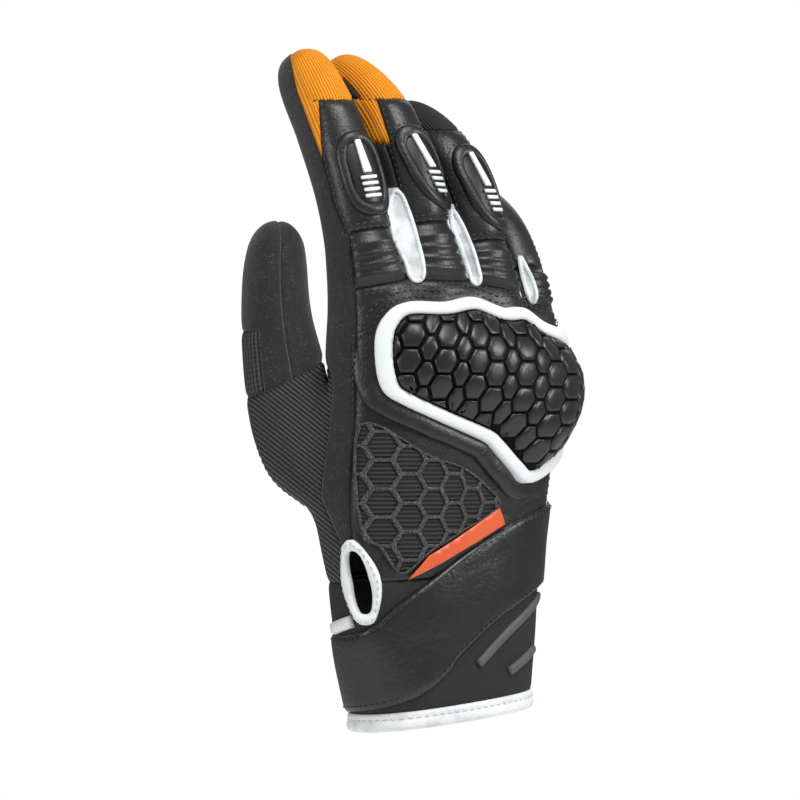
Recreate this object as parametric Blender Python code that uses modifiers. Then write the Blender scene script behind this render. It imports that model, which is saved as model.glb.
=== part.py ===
"""Motorcycle glove for the right hand, in its worn form.

The wrist opening's middle is the origin. +Z runs up the fingers, -Y is the back of the hand and
-X is the thumb's side. Lengths are in metres, angles in degrees.
"""
import math

import bmesh
import bpy
from mathutils import Vector
from mathutils.bvhtree import BVHTree

# Sizes of the hand
HAND_LENGTH = 0.155
HAND_BREADTH = 0.093
HAND_DEPTH = 0.042
HEM_HEIGHT = 0.006
HEM_SLOPE = 0.12
ROOT_DIP = 0.80
VALLEY_DIP = 0.94

# Sizes of the fingers and the thumb
INDEX_LENGTH = 0.096
MIDDLE_LENGTH = 0.101
RING_LENGTH = 0.086
LITTLE_LENGTH = 0.064
FINGER_BREADTH = 0.0226
FINGER_DEPTH = 0.0275
LITTLE_BREADTH = 0.0186
LITTLE_DEPTH = 0.0225
THUMB_LENGTH = 0.054
THUMB_BREADTH = 0.0255
THUMB_DEPTH = 0.0250
THUMB_OUT = 0.0575
THUMB_FORWARD = 0.0190

# Sizes of the leather and of what is sewn on it
WALL = 0.0016
SEAM_GAP = 0.0004
SEAT_GAP = 0.0007
RIB_RISE = 0.0010
RIB_CUTS = 4
GUARD_CLEAR = 0.006
GUARD_HEIGHT = 0.400 * HAND_LENGTH
GUARD_FOOT = HAND_LENGTH - GUARD_HEIGHT - GUARD_CLEAR
GUARD_LENGTH = 0.0745
GUARD_START = -0.0288
GUARD_SEAT = 0.0022
GUARD_RISE = 0.0100
GUARD_LIP = 0.0022
GUARD_SLOPE = 0.0150
GUARD_LOW_END = 0.55
RIM_WIDTH = 0.0042
RIM_HEIGHT = 0.0034
RIM_SEAT = 0.0015
PAD_WIDTH = 0.0060
PAD_HEIGHT = 0.0022
TILE_ACROSS = 0.0089
TILE_GROOVE = 0.0006
TILE_RELIEF = 0.0009
NET_ACROSS = 0.0097
NET_RIB = 0.0009
NET_RELIEF = 0.0008
NET_THICK = 0.0018
PATCH_CELL = 0.0075
STRAP_THICK = 0.0018
STRAP_SEAT = 0.0009
STRAP_WIDTH = 0.0275
BLADE_THICK = 0.0012
BAR_WIDTH = 0.0031
BAR_THICK = 0.0010
INSERT_LENGTH = 0.0285
INSERT_WIDTH = 0.0175
INSERT_HEIGHT = 0.0030
INSERT_RIM = 0.0030
INSERT_BAR_LENGTH = 0.0110
INSERT_BAR_WIDTH = 0.0030
INSERT_BAR_THICK = 0.0016
STRIPE_LENGTH = 0.0064
STRIPE_WIDTH = 0.0010
STRIPE_PITCH = 0.0020
BINDING_WIDTH = 0.0032
BINDING_THICK = 0.0018
BINDING_PROUD = 0.0007

# The hand's sections from the hem to the finger roots: height up the hand as a share of its
# length above the hem, middle and half breadth as shares of HAND_BREADTH, and how far the back
# and the palm stand from the middle plane as shares of HAND_DEPTH
HAND_SECTIONS = (
    # up,   middle,  half,  back, palm
    (0.000, 0.000, 0.388, 0.52, 0.52),
    (0.228, -0.034, 0.454, 0.53, 0.53),
    (0.305, -0.028, 0.456, 0.52, 0.56),
    (0.390, -0.040, 0.482, 0.52, 0.62),
    (0.490, -0.034, 0.508, 0.53, 0.68),
    (0.630, -0.006, 0.509, 0.54, 0.62),
    (0.795, 0.009, 0.516, 0.53, 0.50),
    (0.900, 0.012, 0.514, 0.50, 0.46),
    (1.000, 0.006, 0.503, 0.47, 0.44),
)
SECTION_POWER = 2.4

# The columns of the back, from the thumb's side: where each stands as a share of the half
# breadth, and how far its finger root lies above the top section, as a share of HAND_LENGTH
BACK_COLUMNS = (
    # across, root rise
    (-0.930, -0.020),
    (-0.710, 0.000),
    (-0.475, 0.012),
    (-0.200, 0.008),
    (0.080, 0.004),
    (0.340, 0.000),
    (0.600, -0.042),
    (0.780, -0.052),
    (0.930, -0.060),
)
# Where the slit's two long sides stand, as shares of the half breadth
SLIT_EDGES = {
    # row: front edge, rear edge
    1: (-0.82, -0.93),
    2: (-0.80, -0.975),
    3: (-0.87, -0.955),
}
THUMB_SIDE_RISE = -0.022
LITTLE_SIDE_RISE = -0.066
WEB_RISE = 0.004

# The stations up a finger, as shares of its length, with its size there
FINGER_STATIONS = (
    # along, size
    (0.20, 1.00),
    (0.42, 1.02),
    (0.62, 1.02),
    (0.80, 0.95),
    (0.93, 0.79),
)
# How far each finger is bent towards the palm on the way to each station and to its end, and how
# far it leans to the thumb's side
FINGER_BENDS = {
    "index": (2, 11, 24, 33, 33, 30),
    "middle": (0, 11, 31, 52, 63, 66),
    "ring": (0, 13, 33, 55, 70, 76),
    "little": (20, 34, 50, 64, 74, 78),
}
FINGER_LEANS = {"index": 6.0, "middle": 6.4, "ring": 8.2, "little": 1.5}
# A finger's eight corners, as angles round it from the middle of its back
FINGER_CORNERS = (-56, 0, 52, 92, 130, 180, 230, 266)
CORNER_SPREAD = 1.09

# The thumb's rings: middle as shares of THUMB_OUT, THUMB_FORWARD and THUMB_LENGTH above the
# crotch, half sizes as shares of THUMB_BREADTH and THUMB_DEPTH, and how far the ring is tipped
THUMB_CROTCH = 0.124
THUMB_RINGS = (
    # out,  forward,  up,  breadth, depth, tip
    (0.890, 0.82, -0.42, 0.86, 0.64, 56),
    (0.960, 0.93, -0.03, 0.60, 0.56, 20),
    (0.980, 1.00, 0.30, 0.54, 0.53, 2),
    (0.975, 0.97, 0.62, 0.54, 0.52, -2),
    (0.970, 0.88, 0.92, 0.50, 0.47, -4),
)
THUMB_END = (0.960, 0.81, 1.12)
THUMB_FACING = 21.0

# Where round the hand the flat patterns are measured from, and how a length on them is turned
# into an angle
PATTERN_AXIS = 0.333 * HAND_DEPTH
PATTERN_RADIUS = 0.37 * HAND_BREADTH
FINGER_RADIUS = 0.49 * FINGER_DEPTH

# The guard's outline: across as a share of GUARD_LENGTH, height as a share of GUARD_HEIGHT
GUARD_OUTLINE = (
    # across, up
    (0.000, 0.78),
    (0.026, 0.91),
    (0.085, 0.97),
    (0.240, 0.97),
    (0.400, 1.00),
    (0.547, 0.94),
    (0.658, 0.94),
    (0.752, 0.86),
    (0.870, 0.79),
    (0.965, 0.66),
    (1.000, 0.46),
    (0.940, 0.27),
    (0.810, 0.11),
    (0.658, 0.00),
    (0.581, 0.06),
    (0.487, 0.18),
    (0.427, 0.24),
    (0.240, 0.34),
    (0.077, 0.45),
    (0.017, 0.54),
)
# The point of the rounded outline where the padded fold below the guard starts
PAD_START = 25
# Outlines and lines of the pieces below the guard: angle round the hand from the middle of its
# back, height as a share of HAND_LENGTH
NET_OUTLINE = (
    # turn, up
    (-58, 0.684),
    (-29, 0.616),
    (-8, 0.584),
    (7, 0.542),
    (16, 0.492),
    (-8, 0.436),
    (-26, 0.392),
    (-41, 0.338),
    (-50, 0.400),
    (-57, 0.440),
)
BLADE_OUTLINE = (
    # turn, up
    (-38, 0.326),
    (-28, 0.374),
    (-8, 0.423),
    (15, 0.479),
    (19, 0.452),
    (-10, 0.390),
)
STRAP_LINE = (
    # turn, up
    (-92, 0.108),
    (-67, 0.110),
    (-50, 0.125),
    (-35, 0.164),
    (-25, 0.213),
    (3, 0.303),
    (31, 0.366),
    (50, 0.397),
    (68, 0.418),
)
LONG_BAR = ((3, 0.130), (25, 0.206), (53, 0.284))
SHORT_BAR = ((25, 0.110), (47, 0.161))

# Where the inserts sit, as a share of the finger's length past its flex panel
INSERT_PLACES = {"index": 0.195, "middle": 0.175, "ring": 0.200}
STRIPE_COUNT = 4

# Colour, roughness and metallic value of each finish
FINISHES = {
    "leather": ((0.030, 0.030, 0.032, 1.0), 0.42, 0.0),
    "suede": ((0.022, 0.022, 0.021, 1.0), 0.92, 0.0),
    "stretch": ((0.035, 0.035, 0.038, 1.0), 0.80, 0.0),
    "knit_black": ((0.015, 0.015, 0.016, 1.0), 0.90, 0.0),
    "knit_orange": ((0.880, 0.320, 0.010, 1.0), 0.85, 0.0),
    "white_stretch": ((0.820, 0.850, 0.850, 1.0), 0.70, 0.0),
    "hard_shell": ((0.020, 0.020, 0.021, 1.0), 0.38, 0.0),
    "white_rubber": ((0.860, 0.900, 0.900, 1.0), 0.45, 0.0),
    "black_rubber": ((0.012, 0.012, 0.012, 1.0), 0.55, 0.0),
    "net": ((0.025, 0.025, 0.026, 1.0), 0.75, 0.0),
    "red_film": ((0.760, 0.130, 0.050, 1.0), 0.40, 0.0),
    "neoprene": ((0.012, 0.012, 0.013, 1.0), 0.70, 0.0),
    "grey_rubber": ((0.100, 0.100, 0.104, 1.0), 0.50, 0.0),
    "white_binding": ((0.840, 0.870, 0.870, 1.0), 0.60, 0.0),
}

# The panels of the skin and their finishes, in the order of their numbers on the cage
PANELS = {
    "palm": "suede",
    "side_panel": "suede",
    "little_side": "leather",
    "back_leather": "leather",
    "ribbed_gusset": "stretch",
    "cuff": "neoprene",
    "index_back": "leather",
    "middle_back": "leather",
    "ring_back": "leather",
    "little_back": "leather",
    "index_flex": "leather",
    "middle_flex": "leather",
    "ring_flex": "leather",
    "little_flex": "leather",
    "index_tip": "knit_orange",
    "middle_tip": "knit_orange",
    "ring_tip": "knit_black",
    "little_tip": "knit_black",
    "index_middle_side": "white_stretch",
    "middle_ring_side": "white_stretch",
    "ring_little_side": "white_stretch",
    "thumb_inner": "suede",
    "thumb_outer": "suede",
    "thumb_rib": "stretch",
}
PANEL_NUMBER = {name: number for number, name in enumerate(PANELS)}

# Rows and columns of the hand's cage: nine columns on the back, one at the little finger's side,
# nine on the palm and one at the thumb's side
BACK_COUNT = len(BACK_COLUMNS)
LITTLE_SIDE = BACK_COUNT
THUMB_SIDE = 2 * BACK_COUNT + 1
COLUMN_COUNT = 2 * BACK_COUNT + 2
CUFF_ROWS = 2
SLIT_ROWS = (1, 2)
SLIT_COLUMNS = (THUMB_SIDE, 0)
THUMB_ROWS = (4, 5)
THUMB_COLUMNS = (THUMB_SIDE - 2, THUMB_SIDE - 1)

FINGERS = {
    "index": (INDEX_LENGTH, FINGER_BREADTH, FINGER_DEPTH),
    "middle": (MIDDLE_LENGTH, FINGER_BREADTH, FINGER_DEPTH),
    "ring": (RING_LENGTH, FINGER_BREADTH, FINGER_DEPTH),
    "little": (LITTLE_LENGTH, LITTLE_BREADTH, LITTLE_DEPTH),
}


def palm_column(back_column):
    """The palm's column that faces a column of the back."""
    return THUMB_SIDE - 1 - back_column


def start_afresh():
    """Empty the scene and give the collection that takes the glove's pieces."""
    for thing in list(bpy.data.objects):
        bpy.data.objects.remove(thing, do_unlink=True)
    pieces = bpy.data.collections.new("motorcycle_glove")
    bpy.context.scene.collection.children.link(pieces)
    return pieces


def make_finishes():
    """One Principled material for each finish."""
    made = {}
    for name, (colour, roughness, metallic) in FINISHES.items():
        material = bpy.data.materials.new(name)
        material.use_nodes = True
        shader = material.node_tree.nodes["Principled BSDF"]
        shader.inputs["Base Color"].default_value = colour
        shader.inputs["Roughness"].default_value = roughness
        shader.inputs["Metallic"].default_value = metallic
        material.diffuse_color = colour
        made[name] = material
    return made


def height_of(up):
    """Height of a share of the way from the hem to the finger roots."""
    return HEM_HEIGHT + up * (HAND_LENGTH - HEM_HEIGHT)


def fullness(across):
    """Depth of the hand's section at a share of its half breadth, as a share of its full depth."""
    return (1 - abs(across) ** SECTION_POWER) ** (1 / SECTION_POWER)


def section_corner(row, column):
    """Where a corner of the hand's cage stands."""
    up, middle, half, back, palm = HAND_SECTIONS[row]
    last = len(HAND_SECTIONS) - 1
    if column in (LITTLE_SIDE, THUMB_SIDE):
        side = 1 if column == LITTLE_SIDE else -1
        rise = LITTLE_SIDE_RISE if side > 0 else THUMB_SIDE_RISE
        across, depth = side, 0.0
        if column == THUMB_SIDE and row in SLIT_EDGES:
            across = SLIT_EDGES[row][1]
            depth = -back * HAND_DEPTH * fullness(across)
    else:
        on_back = column < BACK_COUNT
        back_column = column if on_back else palm_column(column)
        across, rise = BACK_COLUMNS[back_column]
        if row in SLIT_EDGES and column == SLIT_COLUMNS[1] + 1:
            across = SLIT_EDGES[row][0]
        elif row in SLIT_EDGES and column == SLIT_COLUMNS[1]:
            across = sum(SLIT_EDGES[row]) / 2
        depth = fullness(across) * HAND_DEPTH * (-back if on_back else palm)
        is_web = back_column in (2, 4, 6)
        if is_web and row == last:
            depth *= ROOT_DIP
        elif is_web and row == last - 1:
            depth *= VALLEY_DIP
    x = (middle + across * half) * HAND_BREADTH
    z = height_of(up) + HEM_SLOPE * x * (1 - up) ** 2
    if row == last:
        z += rise * HAND_LENGTH
    return Vector((x, depth, z))


def finger_frame(bend, lean):
    """A finger's own directions: across it, out of its back, and along it."""
    bend, lean = math.radians(bend), math.radians(lean)
    across = Vector((math.cos(lean), 0, math.sin(lean)))
    along = Vector((-math.sin(lean), math.sin(bend), math.cos(bend))).normalized()
    out = across.cross(along).normalized()
    return along.cross(out).normalized(), out, along


def finger_line(root, name):
    """The stations of a finger: middle, across, out and size, then its end point."""
    length = FINGERS[name][0]
    bends, lean = FINGER_BENDS[name], FINGER_LEANS[name]
    place, done, stations = root.copy(), 0.0, []
    for (along_share, size), bend in zip(FINGER_STATIONS, bends):
        _, _, along = finger_frame(bend, lean)
        place = place + along * (along_share - done) * length
        done = along_share
        across, out, _ = finger_frame((bend + bends[len(stations) + 1]) / 2, lean)
        stations.append((place.copy(), across, out, size))
    _, _, along = finger_frame(bends[-1], lean)
    return stations, place + along * (1 - done) * length


def finger_corner(station, name, angle):
    """One corner of a finger's ring."""
    middle, across, out, size = station
    _, breadth, depth = FINGERS[name]
    angle = math.radians(angle)
    sideways = across * math.sin(angle) * breadth / 2
    outwards = out * math.cos(angle) * depth / 2
    return middle + (sideways + outwards) * size * CORNER_SPREAD


def thumb_ring(ring):
    """The eight corners of a ring of the thumb."""
    out, forward, up, breadth, depth, tip = ring
    facing, tip = math.radians(THUMB_FACING), math.radians(tip)
    middle = Vector((-out * THUMB_OUT, forward * THUMB_FORWARD, THUMB_CROTCH + up * THUMB_LENGTH))
    inwards = Vector((math.cos(facing), -math.sin(facing), 0)) * math.cos(tip)
    inwards += Vector((0, 0, math.sin(tip)))
    front = Vector((-math.sin(facing), -math.cos(facing), 0))
    corners = []
    for step in range(8):
        angle = math.radians(45 * step)
        reach = inwards * math.sin(angle) * breadth * THUMB_BREADTH
        corners.append(middle + (reach + front * math.cos(angle) * depth * THUMB_DEPTH) * CORNER_SPREAD)
    return corners


def add_ring(bm, points):
    return [bm.verts.new(point) for point in points]


def add_band(bm, lower, upper, panels):
    """Quads between two rings, each with its panel's name, or None for a hole."""
    count = len(lower)
    for step, panel in enumerate(panels):
        if panel is None:
            continue
        after = (step + 1) % count
        face = bm.faces.new((lower[step], lower[after], upper[after], upper[step]))
        face.material_index = PANEL_NUMBER[panel]


def hand_panel(row, column):
    """The panel that a face of the hand belongs to."""
    if row in SLIT_ROWS and column in SLIT_COLUMNS:
        return None
    if row in THUMB_ROWS and column in THUMB_COLUMNS:
        return None
    if row < CUFF_ROWS:
        return "cuff"
    if column < BACK_COUNT - 1:
        return "back_leather"
    if column in (LITTLE_SIDE - 1, LITTLE_SIDE):
        return "little_side"
    if column == THUMB_SIDE:
        return "side_panel"
    if column == THUMB_SIDE - 1:
        return "ribbed_gusset" if row < THUMB_ROWS[0] else "side_panel"
    if column == THUMB_SIDE - 2 and row < THUMB_ROWS[0]:
        return "ribbed_gusset"
    return "palm"


def finger_panels(name, band, radial, ulnar):
    """The panels round a finger, two faces each for back, ulnar side, palm and radial side."""
    last = len(FINGER_STATIONS) - 1
    if band == 0:
        back = name + "_flex"
    elif band < last:
        back = name + "_back"
    else:
        back = name + "_tip"
    near_back = (back, back) if band == last else (radial, ulnar)
    return (back, back, near_back[1], ulnar, "palm", "palm", radial, near_back[0])


def close_end(bm, ring, end, panels):
    """Four quads round a finger's end point."""
    centre = bm.verts.new(end)
    for step, panel in enumerate(panels):
        first = 2 * step
        face = bm.faces.new((centre, ring[first], ring[first + 1], ring[(first + 2) % 8]))
        face.material_index = PANEL_NUMBER[panel]


def add_finger(bm, name, root_ring, radial, ulnar):
    """One finger on its root ring. Gives its stations for what is sewn on it."""
    root = sum((corner.co for corner in root_ring), Vector()) / len(root_ring)
    stations, end = finger_line(root, name)
    lower = root_ring
    for band, station in enumerate(stations):
        upper = add_ring(bm, [finger_corner(station, name, angle) for angle in FINGER_CORNERS])
        add_band(bm, lower, upper, finger_panels(name, band, radial, ulnar))
        lower = upper
    tip = name + "_tip"
    close_end(bm, lower, end, (tip, ulnar if name == "little" else tip, "palm", radial))
    return stations


def add_thumb(bm, root_ring):
    """The thumb on the ring of corners round its hole in the hand."""
    lower = root_ring
    gusset, palm = "ribbed_gusset", "palm"
    inner, outer, rib = "thumb_inner", "thumb_outer", "thumb_rib"
    low_band = (gusset, gusset, palm, palm, palm, palm, gusset, gusset)
    rib_band = (inner, inner, inner, inner, outer, rib, rib, outer)
    top_band = (inner, inner, inner, inner, outer, outer, outer, outer)
    bands = (low_band, low_band, rib_band, top_band, top_band)
    for ring, panels in zip(THUMB_RINGS, bands):
        upper = add_ring(bm, thumb_ring(ring))
        add_band(bm, lower, upper, panels)
        lower = upper
    out, forward, up = THUMB_END
    end = Vector((-out * THUMB_OUT, forward * THUMB_FORWARD, THUMB_CROTCH + up * THUMB_LENGTH))
    close_end(bm, lower, end, (inner, inner, outer, outer))


def make_cage():
    """The coarse cage of the whole hand, and the stations of its fingers."""
    bm = bmesh.new()
    rings = []
    for row in range(len(HAND_SECTIONS)):
        rings.append(add_ring(bm, [section_corner(row, column) for column in range(COLUMN_COUNT)]))
    for row in range(len(rings) - 1):
        panels = [hand_panel(row, column) for column in range(COLUMN_COUNT)]
        add_band(bm, rings[row], rings[row + 1], panels)

    top = rings[-1]
    webs = []
    for back_column in (2, 4, 6):
        low, high = top[back_column].co, top[palm_column(back_column)].co
        middle = (low + high) / 2 + Vector((0, 0, WEB_RISE * HAND_LENGTH))
        webs.append(bm.verts.new(middle))
    sides = [top[THUMB_SIDE]] + webs + [top[LITTLE_SIDE]]
    side_panels = ("side_panel", "index_middle_side", "middle_ring_side", "ring_little_side", "little_side")
    lines = {}
    for number, name in enumerate(FINGERS):
        first = 2 * number
        back = [top[first], top[first + 1], top[first + 2]]
        palm = [top[palm_column(column)] for column in (first + 2, first + 1, first)]
        root_ring = back + [sides[number + 1]] + palm + [sides[number]]
        lines[name] = add_finger(bm, name, root_ring, side_panels[number], side_panels[number + 1])

    low, high = THUMB_ROWS[0], THUMB_ROWS[1] + 1
    middle = low + 1
    front, centre, back = THUMB_SIDE, THUMB_SIDE - 1, THUMB_SIDE - 2
    hole = ((middle, front), (high, front), (high, centre), (high, back),
            (middle, back), (low, back), (low, centre), (low, front))
    add_thumb(bm, [rings[row][column] for row, column in hole])
    loose = [corner for corner in bm.verts if not corner.link_faces]
    bmesh.ops.delete(bm, geom=loose, context="VERTS")
    bmesh.ops.recalc_face_normals(bm, faces=bm.faces)
    return bm, lines


def round_cage(cage):
    """The cage rounded by one Subdivision Surface, as an editable mesh."""
    mesh = bpy.data.meshes.new("cage")
    cage.to_mesh(mesh)
    cage.free()
    thing = bpy.data.objects.new("cage", mesh)
    bpy.context.scene.collection.objects.link(thing)
    rounding = thing.modifiers.new("rounding", "SUBSURF")
    rounding.levels = 1
    rounding.render_levels = 1
    shape = thing.evaluated_get(bpy.context.evaluated_depsgraph_get())
    skin = bmesh.new()
    skin.from_mesh(shape.to_mesh())
    shape.to_mesh_clear()
    bpy.data.objects.remove(thing, do_unlink=True)
    skin.normal_update()
    outward = skin.verts.layers.float_vector.new("outward")
    for corner in skin.verts:
        corner[outward] = corner.normal
    return skin


def keep_piece(pieces, finishes, bm, name, finish):
    """Turn an editable mesh into a named object with its finish."""
    mesh = bpy.data.meshes.new(name)
    bm.to_mesh(mesh)
    bm.free()
    mesh.materials.clear()
    mesh.materials.append(finishes[finish])
    mesh.polygons.foreach_set("material_index", [0] * len(mesh.polygons))
    mesh.shade_smooth()
    mesh.set_sharp_from_angle(angle=math.radians(40))
    thing = bpy.data.objects.new(name, mesh)
    pieces.objects.link(thing)
    return thing


def raise_ribs(bm, outward):
    """Cut an accordion panel across its length and raise every other cut."""
    lengthwise = []
    for edge in bm.edges:
        run = (edge.verts[1].co - edge.verts[0].co).normalized()
        if abs(run.z) > 0.75:
            lengthwise.append(edge)
    ladder = {}
    for edge in lengthwise:
        low, high = sorted(edge.verts, key=lambda corner: corner.co.z)
        ladder[low.index, high.index] = (low.co.copy(), high.co.copy())
    bmesh.ops.subdivide_edges(bm, edges=lengthwise, cuts=RIB_CUTS, use_grid_fill=True)
    for corner in bm.verts:
        for low, high in ladder.values():
            run = high - low
            share = (corner.co - low).dot(run) / run.length_squared
            if not 0.01 < share < 0.99 or (corner.co - low - run * share).length > 1e-6:
                continue
            step = round(share * (RIB_CUTS + 1))
            if step % 2:
                corner.co += corner[outward].normalized() * RIB_RISE
            break


def draw_back_from_seams(bm, outward, reach):
    """Move a panel's border inwards."""
    shifts = []
    for corner in bm.verts:
        if not corner.is_boundary:
            continue
        centre = sum((face.calc_center_median() for face in corner.link_faces), Vector())
        inward = centre / len(corner.link_faces) - corner.co
        inward -= inward.project(corner[outward])
        shifts.append((corner, inward.normalized() * reach))
    for corner, shift in shifts:
        corner.co += shift


def thicken(bm, outward):
    """Give an open surface its wall, inwards along the hand's own normals."""
    outer_faces = list(bm.faces)
    made = bmesh.ops.extrude_face_region(bm, geom=outer_faces, use_keep_orig=True)
    inner_faces = [item for item in made["geom"] if isinstance(item, bmesh.types.BMFace)]
    for item in made["geom"]:
        if isinstance(item, bmesh.types.BMVert):
            item.co -= item[outward].normalized() * WALL
    inner = {item for item in made["geom"] if isinstance(item, bmesh.types.BMVert)}
    seam_walls = set(bm.faces) - set(outer_faces) - set(inner_faces)
    for wall in list(seam_walls):
        fold_wall(wall, inner)
    bmesh.ops.recalc_face_normals(bm, faces=bm.faces)


def fold_wall(wall, inner):
    """Split a seam's twisted wall along the diagonal that its neighbour takes too."""
    low, high = sorted((corner for corner in wall.verts if corner not in inner),
                       key=lambda corner: round(corner.co.z * 4 + corner.co.x, 4))
    beside = {edge.other_vert(high) for edge in high.link_edges}
    opposite = [corner for corner in wall.verts if corner in inner and corner not in beside]
    if opposite:
        bmesh.utils.face_split(wall, high, opposite[0])


def sewn_panel(skin, name):
    """A panel of the skin as a closed wall."""
    bm = skin.copy()
    outward = bm.verts.layers.float_vector["outward"]
    number = PANEL_NUMBER[name]
    others = [face for face in bm.faces if face.material_index != number]
    bmesh.ops.delete(bm, geom=others, context="FACES")
    is_ribbed = name.endswith("_flex")
    is_loose = is_ribbed or name == "ribbed_gusset"
    draw_back_from_seams(bm, outward, SEAM_GAP if is_loose else SEAM_GAP / 2)
    bm.verts.index_update()
    if is_ribbed:
        raise_ribs(bm, outward)
    thicken(bm, outward)
    return bm


def stand_off(tree, start, way, rise):
    """A point that far from the skin: its seat square to the skin, the rest straight outwards."""
    hit, normal, _, _ = tree.ray_cast(start, way)
    return hit + normal * SEAT_GAP + way * (rise - SEAT_GAP)


def around_hand(tree):
    """A way of placing a flat pattern's point on the hand, with its rise from the skin."""
    def place(across, up, rise):
        angle = across / PATTERN_RADIUS
        out = Vector((math.sin(angle), -math.cos(angle), 0))
        axis = Vector((0, PATTERN_AXIS, up))
        return stand_off(tree, axis, out, rise)
    return place


def around_finger(tree, stations):
    """A way of placing a flat pattern's point on a finger, with its rise from the skin."""
    marks = [0.0]
    for before, after in zip(stations, stations[1:]):
        marks.append(marks[-1] + (after[0] - before[0]).length)

    def place(across, along, rise):
        step = 0
        while step < len(marks) - 2 and along > marks[step + 1]:
            step += 1
        share = (along - marks[step]) / (marks[step + 1] - marks[step])
        middle = stations[step][0].lerp(stations[step + 1][0], share)
        sideways = stations[step][1].lerp(stations[step + 1][1], share).normalized()
        out = stations[step][2].lerp(stations[step + 1][2], share).normalized()
        angle = across / FINGER_RADIUS
        way = (out * math.cos(angle) + sideways * math.sin(angle)).normalized()
        return stand_off(tree, middle, way, rise)
    return place


def clip_to_cell(outline, cell):
    """The part of an outline inside a convex cell, side by side."""
    kept = list(outline)
    for first, second in zip(cell, cell[1:] + cell[:1]):
        def side(point):
            return ((second[0] - first[0]) * (point[1] - first[1])
                    - (second[1] - first[1]) * (point[0] - first[0]))
        clipped = []
        for here, after in zip(kept, kept[1:] + kept[:1]):
            here_side, after_side = side(here), side(after)
            if here_side >= 0:
                clipped.append(here)
            if here_side * after_side < 0:
                share = here_side / (here_side - after_side)
                clipped.append(tuple(a + (b - a) * share for a, b in zip(here, after)))
        kept = clipped
        if len(kept) < 3:
            return []
    return kept


def hexagon_cells(low, high, across):
    """Hexagons with a flat side to the left and right, over a box."""
    side = across / math.sqrt(3)
    rows = int((high[1] - low[1]) / (1.5 * side)) + 3
    columns = int((high[0] - low[0]) / across) + 3
    for row in range(-1, rows):
        for column in range(-1, columns):
            middle = (low[0] + (column + 0.5 * (row % 2)) * across, low[1] + row * 1.5 * side)
            turns = [math.radians(60 * corner + 30) for corner in range(6)]
            yield [(middle[0] + side * math.cos(turn), middle[1] + side * math.sin(turn))
                   for turn in turns]


def square_cells(low, high, across):
    """Squares over a box."""
    for row in range(int((high[1] - low[1]) / across) + 1):
        for column in range(int((high[0] - low[0]) / across) + 1):
            x, y = low[0] + column * across, low[1] + row * across
            yield [(x, y), (x + across, y), (x + across, y + across), (x, y + across)]


def flat_pattern(outline, cells, across):
    """An outline cut into cells, as a flat editable mesh."""
    low = tuple(min(point[axis] for point in outline) - across * 0.37 for axis in (0, 1))
    high = tuple(max(point[axis] for point in outline) + across for axis in (0, 1))
    bm = bmesh.new()
    for cell in cells(low, high, across):
        kept = clip_to_cell(outline, cell)
        corners = []
        for point in kept:
            if not corners or (Vector(point) - corners[-1]).length > 1e-6:
                corners.append(Vector(point))
        if len(corners) > 2:
            bm.faces.new([bm.verts.new((corner.x, corner.y, 0)) for corner in corners])
    bmesh.ops.remove_doubles(bm, verts=bm.verts, dist=across * 0.06)
    bmesh.ops.dissolve_degenerate(bm, dist=across * 0.02, edges=bm.edges)
    split_corners(bm)
    bmesh.ops.recalc_face_normals(bm, faces=bm.faces)
    if sum(face.normal.z for face in bm.faces) < 0:
        bmesh.ops.reverse_faces(bm, faces=bm.faces)
    return bm


def split_corners(bm):
    """Drop faces that hang on the rest by a single corner or have collapsed."""
    thin = [face for face in bm.faces if face.calc_area() < 1e-9]
    bmesh.ops.delete(bm, geom=thin, context="FACES")
    loose = [corner for corner in bm.verts if not corner.link_faces]
    bmesh.ops.delete(bm, geom=loose, context="VERTS")


def tiled_patch(pattern, seat, thick, groove, relief, smallest):
    """A slab over a flat pattern, with each full cell inset by its groove and raised or sunk."""
    top = bmesh.ops.extrude_face_region(pattern, geom=list(pattern.faces), use_keep_orig=True)
    upper = [item for item in top["geom"] if isinstance(item, bmesh.types.BMFace)]
    for item in top["geom"]:
        if isinstance(item, bmesh.types.BMVert):
            item.co.z = thick
    if relief:
        whole = [face for face in upper if face.calc_area() > smallest]
        bmesh.ops.inset_individual(pattern, faces=whole, thickness=groove, depth=0)
        for face in whole:
            for corner in face.verts:
                corner.co.z = thick + relief
    for corner in pattern.verts:
        corner.co.z += seat
    bmesh.ops.recalc_face_normals(pattern, faces=pattern.faces)
    return pattern


def wrap(bm, place, swell=None):
    """Bend a flat piece over the glove. Swell gives the further rise of its upper side."""
    for corner in bm.verts:
        across, up, rise = corner.co
        if swell and rise > GUARD_SEAT + SEAT_GAP / 2:
            rise += swell((across, up))
        corner.co = place(across, up, rise)
    return bm


def smooth_line(points, steps, closed):
    """More points on a smooth line through the given ones."""
    count = len(points)
    made = []
    for step in range(count if closed else count - 1):
        if closed:
            before, here, after, beyond = (points[(step + shift) % count] for shift in (-1, 0, 1, 2))
        else:
            before, beyond = points[max(step - 1, 0)], points[min(step + 2, count - 1)]
            here, after = points[step], points[step + 1]
        for part in range(steps):
            t = part / steps
            made.append(tuple(
                0.5 * (2 * h + (a - b) * t + (2 * b - 5 * h + 4 * a - e) * t * t
                       + (3 * h - b - 3 * a + e) * t ** 3)
                for b, h, a, e in zip(before, here, after, beyond)))
    if not closed:
        made.append(tuple(points[-1]))
    return made


def side_line(line, shift, closed):
    """A line beside another one, shifted to its left."""
    count, made = len(line), []
    for step, point in enumerate(line):
        if closed:
            before, after = line[step - 1], line[(step + 1) % count]
        else:
            before, after = line[max(step - 1, 0)], line[min(step + 1, count - 1)]
        run = Vector(after) - Vector(before)
        left = Vector((-run.y, run.x)).normalized()
        made.append((point[0] + left.x * shift, point[1] + left.y * shift))
    return made


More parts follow.
